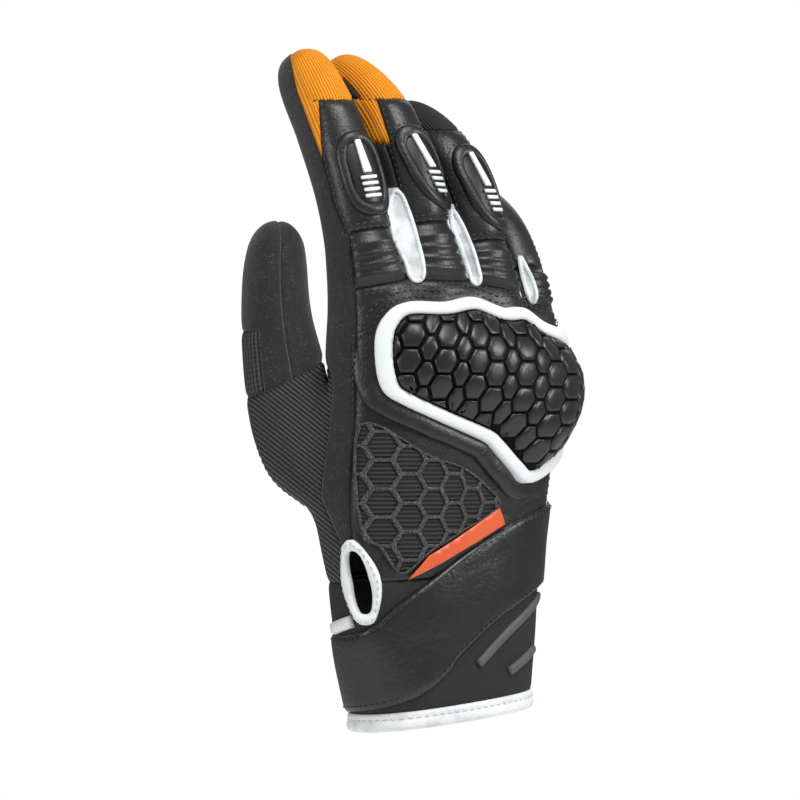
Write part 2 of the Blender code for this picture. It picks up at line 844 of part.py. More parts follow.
def loft(rings, closed):
    """A solid through rings of corners, closed round or with its ends capped."""
    bm = bmesh.new()
    rings = [add_ring(bm, ring) for ring in rings]
    count = len(rings[0])
    followers = rings[1:] + rings[:1] if closed else rings[1:]
    for ring, after in zip(rings, followers):
        for corner in range(count):
            beside = (corner + 1) % count
            bm.faces.new((ring[corner], ring[beside], after[beside], after[corner]))
    if not closed:
        bm.faces.new(rings[0])
        bm.faces.new(rings[-1])
    bmesh.ops.recalc_face_normals(bm, faces=bm.faces)
    return bm


def swept_band(line, section, closed, place):
    """A band along a flat line. Each section corner is a sideways shift and a rise."""
    rails = [side_line(line, shift, closed) for shift, _ in section]
    rings = []
    for step in range(len(line)):
        rings.append([place(rail[step][0], rail[step][1], rise)
                      for rail, (_, rise) in zip(rails, section)])
    return loft(rings, closed)


def rounded_section(width, seat, height):
    """The section of a rim or binding: flat below, rounded above."""
    half = width / 2
    return ((-half, seat), (-half, seat + height * 0.6), (0, seat + height),
            (half, seat + height * 0.6), (half, seat))


def flat_section(width, seat, height, steps):
    """The section of a wide band, with enough corners to bend with the hand."""
    shifts = [width * (step / steps - 0.5) for step in range(steps + 1)]
    return [(shift, seat) for shift in shifts] + [(shift, seat + height) for shift in shifts[::-1]]


def on_pattern(table):
    """A table of angles and heights as points of the hand's flat pattern."""
    return [(math.radians(turn) * PATTERN_RADIUS, up * HAND_LENGTH) for turn, up in table]


def edge_distance(point, outline):
    """How far a flat point lies from an outline."""
    nearest = HAND_LENGTH
    for here, after in zip(outline, outline[1:] + outline[:1]):
        here, run = Vector(here), Vector(after) - Vector(here)
        share = max(0, min(1, (Vector(point) - here).dot(run) / run.length_squared))
        nearest = min(nearest, (Vector(point) - here - run * share).length)
    return nearest


def add_guard(place, keep):
    """The knuckle guard with its tiles, its white rim and the padded leather round it."""
    corners = [(GUARD_START + across * GUARD_LENGTH, GUARD_FOOT + up * GUARD_HEIGHT)
               for across, up in GUARD_OUTLINE]
    outline = smooth_line(corners, 2, True)
    keep(swept_band(outline, rounded_section(RIM_WIDTH, RIM_SEAT, RIM_HEIGHT), True, place),
         "guard_rim", "white_rubber")
    below = side_line(outline, RIM_WIDTH / 2 + SEAM_GAP + PAD_WIDTH / 2, True)[PAD_START:]
    keep(swept_band(below, rounded_section(PAD_WIDTH, SEAT_GAP, PAD_HEIGHT), False, place),
         "guard_pad", "leather")
    shell_edge = side_line(outline, -(RIM_WIDTH / 2 + SEAM_GAP), True)

    def swell(point):
        inward = min(1, edge_distance(point, shell_edge) / GUARD_SLOPE)
        share = (point[0] - GUARD_START) / GUARD_LENGTH
        fullness = GUARD_LOW_END + (1 - GUARD_LOW_END) * min(1, 1.4 * share)
        return (GUARD_RISE - GUARD_LIP) * fullness * math.sin(inward * math.pi / 2)

    pattern = flat_pattern(shell_edge, hexagon_cells, TILE_ACROSS)
    whole = 0.30 * TILE_ACROSS ** 2
    tiles = tiled_patch(pattern, GUARD_SEAT, GUARD_LIP, TILE_GROOVE, TILE_RELIEF, whole)
    keep(wrap(tiles, place, swell), "knuckle_guard", "hard_shell")


def add_back_pieces(place, keep):
    """What is sewn on the back below the guard: net, blade, strap and the cuff's bars."""
    pattern = flat_pattern(on_pattern(NET_OUTLINE), hexagon_cells, NET_ACROSS)
    whole = 0.30 * NET_ACROSS ** 2
    net = tiled_patch(pattern, 1.4 * SEAT_GAP, NET_THICK, NET_RIB, -NET_RELIEF, whole)
    keep(wrap(net, place), "mesh_panel", "net")
    pattern = flat_pattern(on_pattern(BLADE_OUTLINE), square_cells, PATCH_CELL)
    blade = tiled_patch(pattern, 1.4 * SEAT_GAP, BLADE_THICK, 0, 0, 0)
    keep(wrap(blade, place), "blade_strip", "red_film")
    line = smooth_line(on_pattern(STRAP_LINE), 3, False)
    strap = flat_section(STRAP_WIDTH, STRAP_SEAT, STRAP_THICK, 4)
    keep(swept_band(line, strap, False, place), "wrist_strap", "leather")
    for name, bar in (("cuff_bar_long", LONG_BAR), ("cuff_bar_short", SHORT_BAR)):
        line = smooth_line(on_pattern(bar), 4, False)
        section = rounded_section(BAR_WIDTH, SEAT_GAP, BAR_THICK)
        keep(swept_band(line, section, False, place), name, "grey_rubber")


def oval(width, length, count):
    """Corners of an oval with full ends."""
    made = []
    for step in range(count):
        turn = -2 * math.pi * step / count
        across, along = math.cos(turn), math.sin(turn)
        made.append((math.copysign(abs(across) ** 0.8, across) * width / 2,
                     math.copysign(abs(along) ** 0.8, along) * length / 2))
    return made


def bars_pattern(middle):
    """The white piece in an insert: a tapered bar above four stripes on a narrow stem."""
    half, stem = INSERT_BAR_WIDTH / 2, STRIPE_WIDTH / 2
    rows = [(INSERT_BAR_LENGTH, half * 0.6, True),
            (INSERT_BAR_LENGTH / 2, half * 0.8, True),
            (0, half, False)]
    for stripe in range(STRIPE_COUNT):
        top = -STRIPE_PITCH * (stripe + 0.5)
        rows += [(top, STRIPE_LENGTH / 2, True), (top - STRIPE_WIDTH, STRIPE_LENGTH / 2, False)]
    bm = bmesh.new()
    rings = [add_ring(bm, [(across, along + middle, 0) for across in (-wide, -stem, stem, wide)])
             for along, wide, _ in rows]
    for (_, _, is_wide), upper, lower in zip(rows, rings, rings[1:]):
        for column in range(3):
            if column == 1 or is_wide:
                bm.faces.new((lower[column], lower[column + 1], upper[column + 1], upper[column]))
    loose = [corner for corner in bm.verts if not corner.link_faces]
    bmesh.ops.delete(bm, geom=loose, context="VERTS")
    return bm


def add_inserts(tree, lines, keep):
    """The oval rubber rims on three fingers and the white pieces in them."""
    for name, share in INSERT_PLACES.items():
        place = around_finger(tree, lines[name])
        middle = share * FINGERS[name][0]
        rim = oval(INSERT_WIDTH - INSERT_RIM, INSERT_LENGTH - INSERT_RIM, 18)
        rim = [(across, along + middle) for across, along in rim]
        section = rounded_section(INSERT_RIM, SEAT_GAP, INSERT_HEIGHT)
        keep(swept_band(rim, section, True, place), name + "_insert", "black_rubber")
        bars = tiled_patch(bars_pattern(middle - STRIPE_WIDTH), SEAT_GAP, INSERT_BAR_THICK, 0, 0, 0)
        keep(wrap(bars, place), name + "_bars", "white_rubber")


def border_loops(skin):
    """The open borders of the skin, each as a loop of corners, the hem's first."""
    waiting = {edge for edge in skin.edges if edge.is_boundary}
    loops = []
    while waiting:
        edge = min(waiting, key=lambda item: item.index)
        waiting.remove(edge)
        loop = [edge.verts[0], edge.verts[1]]
        while True:
            beyond = [item for item in loop[-1].link_edges if item in waiting]
            if not beyond:
                break
            waiting.remove(beyond[0])
            loop.append(beyond[0].other_vert(loop[-1]))
        loops.append(loop[:-1])
    return sorted(loops, key=lambda loop: sum(corner.co.z for corner in loop) / len(loop))


def add_bindings(skin, keep):
    """The white bindings of the hem and of the slit at the wrist."""
    hem, slit = border_loops(skin)
    outward = skin.verts.layers.float_vector["outward"]
    rings = []
    for corner in hem:
        out = Vector((corner[outward].x, corner[outward].y, 0)).normalized()
        outer, inner = BINDING_PROUD, -WALL - BINDING_PROUD
        top, low = -SEAM_GAP, -HEM_HEIGHT
        section = ((outer, top), (outer, low), (inner, low), (inner, top))
        rings.append([corner.co + out * shift + Vector((0, 0, rise)) for shift, rise in section])
    keep(loft(rings, True), "hem_binding", "white_binding")

    middle = sum((corner.co for corner in slit), Vector()) / len(slit)
    rings = []
    for corner in slit:
        out = corner[outward].normalized()
        away = corner.co - middle
        away = (away - away.project(out)).normalized()
        ring = []
        for shift, rise in rounded_section(BINDING_WIDTH, SEAT_GAP, BINDING_THICK):
            ring.append(corner.co + away * (shift + 0.3 * BINDING_WIDTH) + out * rise)
        rings.append(ring)
    keep(loft(rings, True), "slit_binding", "white_binding")


def main():
    pieces = start_afresh()
    finishes = make_finishes()
    cage, lines = make_cage()
    skin = round_cage(cage)
    tree = BVHTree.FromBMesh(skin)
    place = around_hand(tree)

    def keep(bm, name, finish):
        keep_piece(pieces, finishes, bm, name, finish)

    for name, finish in PANELS.items():
        keep(sewn_panel(skin, name), name, finish)
    add_guard(place, keep)
    add_back_pieces(place, keep)
    add_inserts(tree, lines, keep)
    add_bindings(skin, keep)
    skin.free()


main()
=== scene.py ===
# %% [markdown]
# # A motorcycle glove in Blender
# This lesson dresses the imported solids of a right-hand motorcycle glove. The real glove is sewn
# from leather, suede, knit and mesh panels, with a moulded guard over the knuckles. The solids
# give the frame: every visible piece here is built anew with more detail in the same place, and
# hides the solid that it stands for.

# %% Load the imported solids
import math

import bmesh
import bpy
from mathutils import Matrix, Vector, noise
from mathutils.bvhtree import BVHTree
from mathutils.kdtree import KDTree


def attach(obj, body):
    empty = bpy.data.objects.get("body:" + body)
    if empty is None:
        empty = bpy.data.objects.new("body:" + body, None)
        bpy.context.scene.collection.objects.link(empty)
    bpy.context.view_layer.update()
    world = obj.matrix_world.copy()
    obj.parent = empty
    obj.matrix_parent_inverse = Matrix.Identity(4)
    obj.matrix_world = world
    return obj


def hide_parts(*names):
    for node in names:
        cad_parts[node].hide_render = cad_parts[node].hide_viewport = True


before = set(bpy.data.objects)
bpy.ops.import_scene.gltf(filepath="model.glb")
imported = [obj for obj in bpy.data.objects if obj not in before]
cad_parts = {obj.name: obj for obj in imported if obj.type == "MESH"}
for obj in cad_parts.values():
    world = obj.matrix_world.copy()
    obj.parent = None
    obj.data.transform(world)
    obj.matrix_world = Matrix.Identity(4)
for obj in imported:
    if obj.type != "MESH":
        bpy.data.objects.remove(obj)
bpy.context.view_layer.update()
print("the packed solids:", len(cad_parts), "nodes")

# %% [markdown]
# ## Camera, floor and light
# The camera looks level at the glove, a little from the thumb's side, through a long lens that
# keeps widths true. Big soft lamps from above and both sides draw long highlights along the
# leather, as in a studio. The floor is a plain pale sheet well below the glove, which is held up.

# %% Camera
PIXEL, PICTURE = 0.00036, 800      # metres a pixel, pixels a side
AXIS_COLUMN, FOOT_ROW = 440, 718   # where the picture shows the hand's axis and foot
SENSOR = 36
AZIMUTH = math.radians(-33)
CAMERA_AWAY = 2.4
sideways = Vector((math.cos(AZIMUTH), math.sin(AZIMUTH), 0))
towards_camera = Vector((math.sin(AZIMUTH), -math.cos(AZIMUTH), 0))
aim = sideways * (PICTURE // 2 - AXIS_COLUMN) * PIXEL
aim += Vector((0, 0, (FOOT_ROW - PICTURE // 2) * PIXEL))
lens = bpy.data.cameras.new("camera")
lens.sensor_width = SENSOR
lens.lens = SENSOR * CAMERA_AWAY / (PICTURE * PIXEL)
lens.clip_start, lens.clip_end = 0.1, 20
camera = bpy.data.objects.new("camera", lens)
camera.location = aim + towards_camera * CAMERA_AWAY
camera.rotation_euler = (-towards_camera).to_track_quat("-Z", "Y").to_euler()
bpy.context.scene.collection.objects.link(camera)
bpy.context.scene.camera = camera
print("camera lens in mm:", round(lens.lens))


# %% Lights
def add_lamp(name, way, away, size, power):
    """A square soft lamp that shines at the glove's middle."""
    lamp = bpy.data.lights.new(name, "AREA")
    lamp.shape, lamp.size, lamp.energy = "SQUARE", size, power
    thing = bpy.data.objects.new(name, lamp)
    way = Vector(way).normalized()
    thing.location = aim + way * away
    thing.rotation_euler = way.to_track_quat("Z", "Y").to_euler()
    bpy.context.scene.collection.objects.link(thing)


def seen(right, up, nearer):
    """A direction or place given as the camera sees it."""
    return sideways * right + Vector((0, 0, up)) + towards_camera * nearer


add_lamp("top_lamp", seen(0.25, 1.0, 0.55), 1.1, 0.45, 8.0)
add_lamp("left_lamp", seen(-1.0, 0.35, 0.75), 1.3, 0.40, 4.8)
add_lamp("right_lamp", seen(1.0, 0.45, 0.35), 1.2, 0.34, 7.0)
add_lamp("back_lamp", seen(0.1, 0.5, -1.0), 1.4, 0.8, 2.5)
WORLD_LIGHT = 0.21   # the world lights the glove less than it shows
world = bpy.data.worlds.new("studio")
world.use_nodes = True
nodes, links = world.node_tree.nodes, world.node_tree.links
background = nodes["Background"].inputs
background["Color"].default_value = (1, 1, 1, 1)
light_path = nodes.new("ShaderNodeLightPath")
strength = nodes.new("ShaderNodeMapRange")
strength.inputs["To Min"].default_value = WORLD_LIGHT
strength.inputs["To Max"].default_value = 1.0
links.new(light_path.outputs["Is Camera Ray"], strength.inputs["Value"])
links.new(strength.outputs["Result"], background["Strength"])
bpy.context.scene.world = world
bpy.context.scene.view_settings.view_transform = "Standard"
print("four lamps and a white world")

# %% [markdown]
# ## Writing materials as sums
# A material is a net of nodes. Written out it is long, so one small class stands for a socket and
# lets sockets be added and multiplied as numbers are, and one method makes any other node.


# %% A socket that takes part in sums
class Socket:
    """A value in a material's nodes."""

    def __init__(self, paint, socket):
        self.paint, self.socket = paint, socket

    def sum(self, operation, *values):
        return self.paint.node("ShaderNodeMath", {"operation": operation}, dict(enumerate(values)))

    def __add__(self, other):
        return self.sum("ADD", self, other)

    def __sub__(self, other):
        return self.sum("SUBTRACT", self, other)

    def __mul__(self, other):
        return self.sum("MULTIPLY", self, other)

    __radd__, __rmul__ = __add__, __mul__

    def sine(self):
        return self.sum("SINE", self)

    def between(self, low, high):
        """0 below the low value, 1 above the high one, and smooth between them."""
        return self.paint.node("ShaderNodeMapRange", {"interpolation_type": "SMOOTHSTEP"},
                               {0: self, 1: low, 2: high, 3: 0.0, 4: 1.0})


# %% A material under construction
class Paint:
    """One procedural material, with its nodes."""

    def __init__(self, name, **constants):
        self.material = bpy.data.materials.new(name)
        self.material.use_nodes = True
        self.tree = self.material.node_tree
        self.shader = self.tree.nodes["Principled BSDF"]
        for socket, value in constants.items():
            self.shader.inputs[socket.replace("_", " ")].default_value = value

    def node(self, kind, settings=None, values=None, out=0):
        made = self.tree.nodes.new(kind)
        for name, value in (settings or {}).items():
            setattr(made, name, value)
        for name, value in (values or {}).items():
            self.feed(made.inputs[name], value)
        return Socket(self, made.outputs[out])

    def feed(self, socket, value):
        if isinstance(value, Socket):
            self.tree.links.new(value.socket, socket)
        else:
            socket.default_value = value

    def place(self):
        return self.node("ShaderNodeTexCoord", out="Object")

    def cloth(self):
        """The two coordinates that follow the cloth, in metres: round it and along it."""
        both = self.node("ShaderNodeUVMap", {"uv_map": "cloth"})
        parts = self.node("ShaderNodeSeparateXYZ", values={0: both})
        return parts, Socket(self, parts.socket.node.outputs[1])

    def axes(self):
        parts = self.node("ShaderNodeSeparateXYZ", values={0: self.place()})
        return [Socket(self, output) for output in parts.socket.node.outputs]

    def cloud(self, scale, detail=2.0, rough=0.5):
        return self.node("ShaderNodeTexNoise", values={
            "Vector": self.place(), "Scale": scale, "Detail": detail, "Roughness": rough})

    def cells(self, scale, feature="F1"):
        return self.node("ShaderNodeTexVoronoi", {"feature": feature}, {
            "Vector": self.place(), "Scale": scale})

    def mix(self, share, first, second):
        return self.node("ShaderNodeMix", {"data_type": "RGBA"},
                         {0: share, 6: first, 7: second}, out=2)

    def finish(self, colour=None, roughness=None, height=None, depth=0.0003):
        for name, value in (("Base Color", colour), ("Roughness", roughness)):
            if value is not None:
                self.feed(self.shader.inputs[name], value)
        if height is not None:
            bump = self.node("ShaderNodeBump", values={"Height": height, "Distance": depth})
            self.feed(self.shader.inputs["Normal"], bump)
        return self.material


def grey(value):
    return (value, value, value, 1.0)


print("the material class is ready")

# %% [markdown]
# ## Leather
# Goatskin has a pebbled grain of about a millimetre with finer pores in it, and soft creases
# where the hand bends. Voronoi cells give the pebbles, noise the pores and creases, and both go
# into the bump. The shine is uneven, so noise also moves the roughness.


# %% Leather, suede and smooth cuff cloth
def leather(name, dark, light, shine, pebble=1000, deep=0.00022):
    paint = Paint(name)
    pebbles = paint.cells(pebble, "SMOOTH_F1")
    pores = paint.cloud(2600, 2)
    creases = paint.cloud(170, 6, 0.62)
    worn = paint.cloud(60, 3)
    colour = paint.mix(worn * 0.7 + creases * 0.3, dark, light)
    roughness = shine + 0.16 * (creases - 0.5) + 0.10 * pores
    height = pebbles * -0.55 + pores * 0.22 + creases * 1.1
    return paint.finish(colour, roughness, height, deep)


def suede(name, dark, light, speck):
    paint = Paint(name, Sheen_Weight=0.25, Sheen_Roughness=0.5)
    nap = paint.cloud(900, 3, 0.6)
    brushed = paint.cloud(45, 3)
    hairs = paint.cloud(2100, 2, 0.7)
    fleck = hairs.between(0.60, 0.70) * paint.cloud(300, 2).between(0.38, 0.60)
    colour = paint.mix(fleck * 0.8, paint.mix(brushed, dark, light), speck)
    return paint.finish(colour, 0.93, nap + hairs * 0.7, 0.00030)


back_leather = leather("back_leather", grey(0.0065), grey(0.020), 0.34, deep=0.00016)
strap_leather = leather("strap_leather", grey(0.010), grey(0.020), 0.28, 620, 0.00018)
side_suede = suede("side_suede", grey(0.0080), grey(0.017), grey(0.20))
palm_suede = suede("palm_suede", grey(0.011), grey(0.022), grey(0.10))

cuff_paint = Paint("cuff_cloth")
cuff_cloth = cuff_paint.finish(
    cuff_paint.mix(cuff_paint.cloud(80, 4), grey(0.0085), grey(0.016)), 0.78,
    cuff_paint.cloud(2400, 2) + cuff_paint.cloud(220, 4) * 0.8, 0.00018)
print("leather, suede and cuff cloth are ready")

# %% [markdown]
# ## Knits
# A rib knit is a row of cords. The cloth's own coordinates say how far round and along the finger
# a point is, so a sine wave of the first makes cords that follow the finger, and a finer wave
# along them makes the stitches. The gusset below the thumb has its cords aslant, and the mesh has
# them level.


# %% Knit, ribbed and net materials
TURN = 2 * math.pi


def knit(name, dark, light, cord, stitch):
    paint = Paint(name)
    round_it, along = paint.cloth()
    wobble = paint.cloud(220, 3) * 0.9
    cords = (round_it * (TURN / cord) + wobble).sine() * 0.5 + 0.5
    stitches = (along * (TURN / stitch) + cords * 2.2).sine() * 0.5 + 0.5
    patchy = paint.cloud(130, 3).between(0.35, 0.65)
    raised = cords * 0.7 + stitches * 0.3
    # painted shade: the colour follows the cords' height, darker in the grooves between the cords
    # and stitches, where shade falls
    colour = paint.mix(raised.between(0.12, 0.75), dark, light)
    return paint.finish(colour, 0.85, raised * (0.55 + patchy * 0.45), 0.00035)


def slanted_ribs(name, dark, light, pitch, slope):
    """Cords in the plane that the camera sees, falling to the right by the slope in degrees."""
    paint = Paint(name)
    x, y, z = paint.axes()
    slope = math.radians(slope)
    level = x * (sideways.x * math.sin(slope)) + y * (sideways.y * math.sin(slope))
    phase = (level + z * math.cos(slope)) * (TURN / pitch) + paint.cloud(90, 2) * 1.6
    cords = phase.sine() * 0.5 + 0.5
    # painted light and shade: lighter on the cords' tops as painted highlight, darker in the
    # grooves between them as painted shade, following the bump's wave
    colour = paint.mix(cords.between(0.25, 0.95), dark, light)
    return paint.finish(colour, 0.80, cords + paint.cloud(2000, 2) * 0.25, 0.00045)


orange_knit = knit("orange_knit", (0.56, 0.15, 0.001, 1), (0.93, 0.35, 0.002, 1), 0.00115, 0.0009)
black_knit = knit("black_knit", grey(0.006), grey(0.021), 0.00115, 0.0009)
gusset_knit = slanted_ribs("gusset_knit", grey(0.004), grey(0.070), 0.00140, 38)
thumb_knit = knit("thumb_knit", grey(0.005), grey(0.055), 0.0016, 0.0011)
net_cloth = slanted_ribs("net_cloth", grey(0.004), grey(0.026), 0.00155, 0)
print("knits are ready")

# %% [markdown]
# ## White cloth, rubber and moulded parts
# The sides between the fingers are white near the hand and black further up, so their material
# changes at a height. The bindings are a fine white cloth. Rubber and the hard guard are smooth
# mouldings, so they get only a faint texture and an uneven shine.


# %% White cloth and rubber
WHITE = (0.90, 0.93, 0.94, 1)


def side_cloth(name, top):
    paint = Paint(name)
    upper = (paint.axes()[2] + paint.cloud(150, 2) * 0.0010).between(top, top + 0.0006)
    soft = paint.cloud(110, 4)
    # painted shade: the white turns grey where the soft noise, and with it the bump, is low, in
    # the cloth's dips
    white = paint.mix(soft, (0.66, 0.70, 0.72, 1), WHITE)
    colour = paint.mix(upper, white, grey(0.012))
    return paint.finish(colour, 0.62, paint.cloud(1600, 2) + soft * 2, 0.00016)


def white_cloth(name):
    paint = Paint(name)
    weave = paint.cells(1500, "F1")
    soft = paint.cloud(120, 4)
    # painted shade: the cloth is greyer where the soft noise, and with it the bump, is low, in its
    # creases
    colour = paint.mix(soft.between(0.25, 0.6), (0.62, 0.66, 0.68, 1), (0.84, 0.87, 0.875, 1))
    return paint.finish(colour, 0.66, soft * 1.5 + weave * 0.5, 0.00022)


def moulded(name, dark, light, shine, **constants):
    paint = Paint(name, **constants)
    soft = paint.cloud(70, 3)
    dust = paint.cloud(3000, 2)
    colour = paint.mix(soft * 0.8 + dust * 0.2, dark, light)
    roughness = shine + 0.14 * (soft - 0.5) + 0.08 * dust
    return paint.finish(colour, roughness, dust + soft * 0.5, 0.00006)


binding_cloth = white_cloth("binding_cloth")
tongue_paint = Paint("tongue_cloth")
tongue_shade = tongue_paint.cloud(140, 3).between(0.30, 0.60)
tongue_cloth = tongue_paint.finish(tongue_paint.mix(tongue_shade, (0.66, 0.69, 0.71, 1), WHITE),
                                   0.65, tongue_paint.cloud(1600, 2), 0.00012)
rim_rubber = moulded("rim_rubber", (0.76, 0.80, 0.81, 1), (0.86, 0.89, 0.895, 1), 0.36)
guard_shell = moulded("guard_shell", grey(0.010), grey(0.019), 0.27)
# painted shade: the shell shows only in the grooves between the tiles, so it is near-black, darker
# than the tiles and with little shine, to stand for the grooves' shade
groove_shell_painted_shade = moulded("groove_shell_painted_shade", grey(0.0012), grey(0.0025), 0.60, Specular_IOR_Level=0.1)
recess_rubber = moulded("recess_rubber", grey(0.005), grey(0.010), 0.35)
blade_film = moulded("blade_film", (0.66, 0.085, 0.022, 1), (0.80, 0.145, 0.045, 1), 0.30)
bar_rubber = moulded("bar_rubber", grey(0.060), grey(0.105), 0.50)
# the black thread is coloured lighter than the leather it sews: its own dark colour with painted
# highlight
dark_thread = moulded("dark_thread", grey(0.018), grey(0.050), 0.50)
white_thread = moulded("white_thread", (0.48, 0.50, 0.51, 1), (0.66, 0.68, 0.69, 1), 0.6)

comb_paint = Paint("comb_rubber")
comb_dots = comb_paint.cloud(1900, 2, 0.6).between(0.46, 0.60)
comb_rubber = comb_paint.finish(comb_paint.mix(comb_dots, grey(0.028), grey(0.12)), 0.75,
                                comb_dots, 0.0002)
print("white cloth, rubber and mouldings are ready")

# %% [markdown]
# ## The shape of the hand
# The whole skin starts as one coarse cage, as a sculptor blocks out a hand: rings of corners up
# the hand, then a ring for each finger and the thumb, each made by extruding the ring before it.
# A subdivision surface then rounds it. The tables give the rings as shares of the hand's sizes,
# and they are the same shape as the solids.

# %% Tables of the hand
HAND_LENGTH, HAND_BREADTH, HAND_DEPTH = 0.155, 0.093, 0.042
HEM_HEIGHT, HEM_SLOPE = 0.006, 0.12
HAND_SECTIONS = (
    # up, middle, half breadth, back, palm
    (0.000, 0.000, 0.388, 0.52, 0.52),
    (0.228, -0.034, 0.454, 0.53, 0.53),
    (0.305, -0.028, 0.456, 0.52, 0.56),
    (0.390, -0.040, 0.482, 0.52, 0.62),
    (0.490, -0.034, 0.508, 0.53, 0.68),
    (0.630, -0.006, 0.509, 0.54, 0.62),
    (0.795, 0.009, 0.516, 0.53, 0.50),
    (0.900, 0.012, 0.514, 0.50, 0.46),
    (1.000, 0.006, 0.503, 0.47, 0.44),
)
BACK_COLUMNS = (
    # across, root rise
    (-0.930, -0.020), (-0.710, 0.000), (-0.475, 0.012), (-0.200, 0.008), (0.080, 0.004),
    (0.340, 0.000), (0.600, -0.042), (0.780, -0.052), (0.930, -0.060),
)
SIDE_RISES = {9: -0.066, 19: -0.022}
WEB_COLUMNS, WEB_DEPTHS, WEB_RISE = (2, 4, 6), (0.94, 0.80), 0.004
FULLNESS = 2.4   # 2 is an ellipse, more is fuller
SLIT_EDGES = {1: (-0.82, -0.93), 2: (-0.80, -0.975), 3: (-0.87, -0.955)}
FINGERS = {
    # length, breadth, depth, lean
    "index": (0.096, 0.0226, 0.0275, 6.0),
    "middle": (0.101, 0.0226, 0.0275, 6.4),
    "ring": (0.086, 0.0226, 0.0275, 8.2),
    "little": (0.064, 0.0186, 0.0225, 1.5),
}
FINGER_STATIONS = ((0.20, 1.00), (0.42, 1.02), (0.62, 1.02), (0.80, 0.95), (0.93, 0.79))
FINGER_BENDS = {
    "index": (2, 11, 24, 33, 33, 30),
    "middle": (0, 11, 31, 52, 63, 66),
    "ring": (0, 13, 33, 55, 70, 76),
    "little": (20, 34, 50, 64, 74, 78),
}
FINGER_CORNERS = (-56, 0, 52, 92, 130, 180, 230, 266)
THUMB_OUT, THUMB_FORWARD, THUMB_CROTCH, THUMB_LENGTH = 0.0575, 0.0190, 0.124, 0.054
THUMB_BREADTH, THUMB_DEPTH = 0.0255, 0.0250
THUMB_RINGS = (
    # out, forward, up, breadth, depth, tip
    (0.890, 0.82, -0.42, 0.86, 0.64, 56),
    (0.960, 0.93, -0.03, 0.60, 0.56, 20),
    (0.980, 1.00, 0.30, 0.54, 0.53, 2),
    (0.975, 0.97, 0.62, 0.54, 0.52, -2),
    (0.970, 0.88, 0.92, 0.50, 0.47, -4),
)
THUMB_END = (0.960, 0.81, 1.12)
THUMB_FACING, THUMB_BAND = math.radians(21), 0.015
CORNER_SPREAD = 1.09
LITTLE_COLUMN, THUMB_COLUMN, COLUMNS = 9, 19, 20
TOP_ROW = len(HAND_SECTIONS) - 1
OPEN_CELLS = ((1, 0), (1, 19), (2, 0), (2, 19), (4, 17), (4, 18), (5, 17), (5, 18))
THUMB_ROOT = ((5, 19), (6, 19), (6, 18), (6, 17), (5, 17), (4, 17), (4, 18), (4, 19))
print("hand cage:", len(HAND_SECTIONS), "rings of", COLUMNS, "corners")

# %% [markdown]
# The panels are cut along the cage's own edges, as a pattern cutter would place the seams. Each
# entry says which finish the panel has, which solid it stands for and how far it bulges between
# its seams.

# %% Table of panels
PANELS = {
    # name: material, slot, bulge in mm
    "palm": (palm_suede, "suede", 0.5),
    "side_panel": (side_suede, "suede", 0.3),
    "little_side": (back_leather, "leather", 0.5),
    "back_leather": (back_leather, "leather", 0.6),
    "ribbed_gusset": (gusset_knit, "stretch", 0.3),
    "cuff": (cuff_cloth, "neoprene", 0.3),
}
PANELS |= {name + "_back": (back_leather, "leather", 0.7) for name in FINGERS}
PANELS |= {name + "_flex": (back_leather, "leather", 0.6) for name in FINGERS}
PANELS |= {name + "_tip": (orange_knit, "knit_orange", 0.1) for name in ("index", "middle")}
PANELS |= {name + "_tip": (black_knit, "knit_black", 0.1) for name in ("ring", "little")}
PANELS |= {
    "index_middle_side": (side_cloth("index_side_cloth", 0.1905), "white_stretch", 0.1),
    "middle_ring_side": (side_cloth("ring_side_cloth", 0.1850), "white_stretch", 0.1),
    "ring_little_side": (side_cloth("little_side_cloth", 0.1690), "white_stretch", 0.1),
    "thumb_inner": (side_suede, "suede", 0.4),
    "thumb_outer": (side_suede, "suede", 0.4),
    "thumb_rib": (thumb_knit, "stretch", 0.3),
}
PANEL_NAMES = list(PANELS)
HOLE = len(PANEL_NAMES)
print("panels:", len(PANELS))


# %% Where the corners of the hand stand
def ease(value, low, high):
    share = max(0.0, min(1.0, (value - low) / (high - low)))
    return share * share * (3 - 2 * share)


def fullness(across):
    """The depth of the hand's section where it is a share of its half breadth away."""
    return (1 - abs(across) ** FULLNESS) ** (1 / FULLNESS)


def hand_corner(row, column):
    up, middle, half, back, palm = HAND_SECTIONS[row]
    if column in SIDE_RISES:
        across, depth, rise = (1 if column == LITTLE_COLUMN else -1), 0.0, SIDE_RISES[column]
        if column == THUMB_COLUMN and row in SLIT_EDGES:
            across = SLIT_EDGES[row][1]
            depth = -back * HAND_DEPTH * fullness(across)
    else:
        on_back = column < LITTLE_COLUMN
        back_column = column if on_back else THUMB_COLUMN - 1 - column
        across, rise = BACK_COLUMNS[back_column]
        if column < 2 and row in SLIT_EDGES:
            front, rear = SLIT_EDGES[row]
            across = front if column else (front + rear) / 2
        depth = fullness(across) * HAND_DEPTH * (-back if on_back else palm)
        if back_column in WEB_COLUMNS and row >= TOP_ROW - 1:
            depth *= WEB_DEPTHS[row == TOP_ROW]
    x = (middle + across * half) * HAND_BREADTH
    z = HEM_HEIGHT + up * (HAND_LENGTH - HEM_HEIGHT) + HEM_SLOPE * x * (1 - up) ** 2
    return Vector((x, depth, z + (rise * HAND_LENGTH if row == TOP_ROW else 0)))


def hand_panel(row, column):
    if (row, column) in OPEN_CELLS:
        return HOLE
    if row < 2:
        return "cuff"
    if column < LITTLE_COLUMN - 1:
        return "back_leather"
    if column in (LITTLE_COLUMN - 1, LITTLE_COLUMN):
        return "little_side"
    if column == THUMB_COLUMN or column == THUMB_COLUMN - 1 and row > 3:
        return "side_panel"
    return "ribbed_gusset" if column > 16 and row < 4 else "palm"


print("the wrist is", round(2 * HAND_SECTIONS[0][2] * HAND_BREADTH * 1000), "mm wide")

# %% [markdown]
# Extruding a ring makes the next ring and the faces between them in one step. Each new corner is
# then moved to its place, and the faces get their panel and the cloth coordinates that the knits
# read.


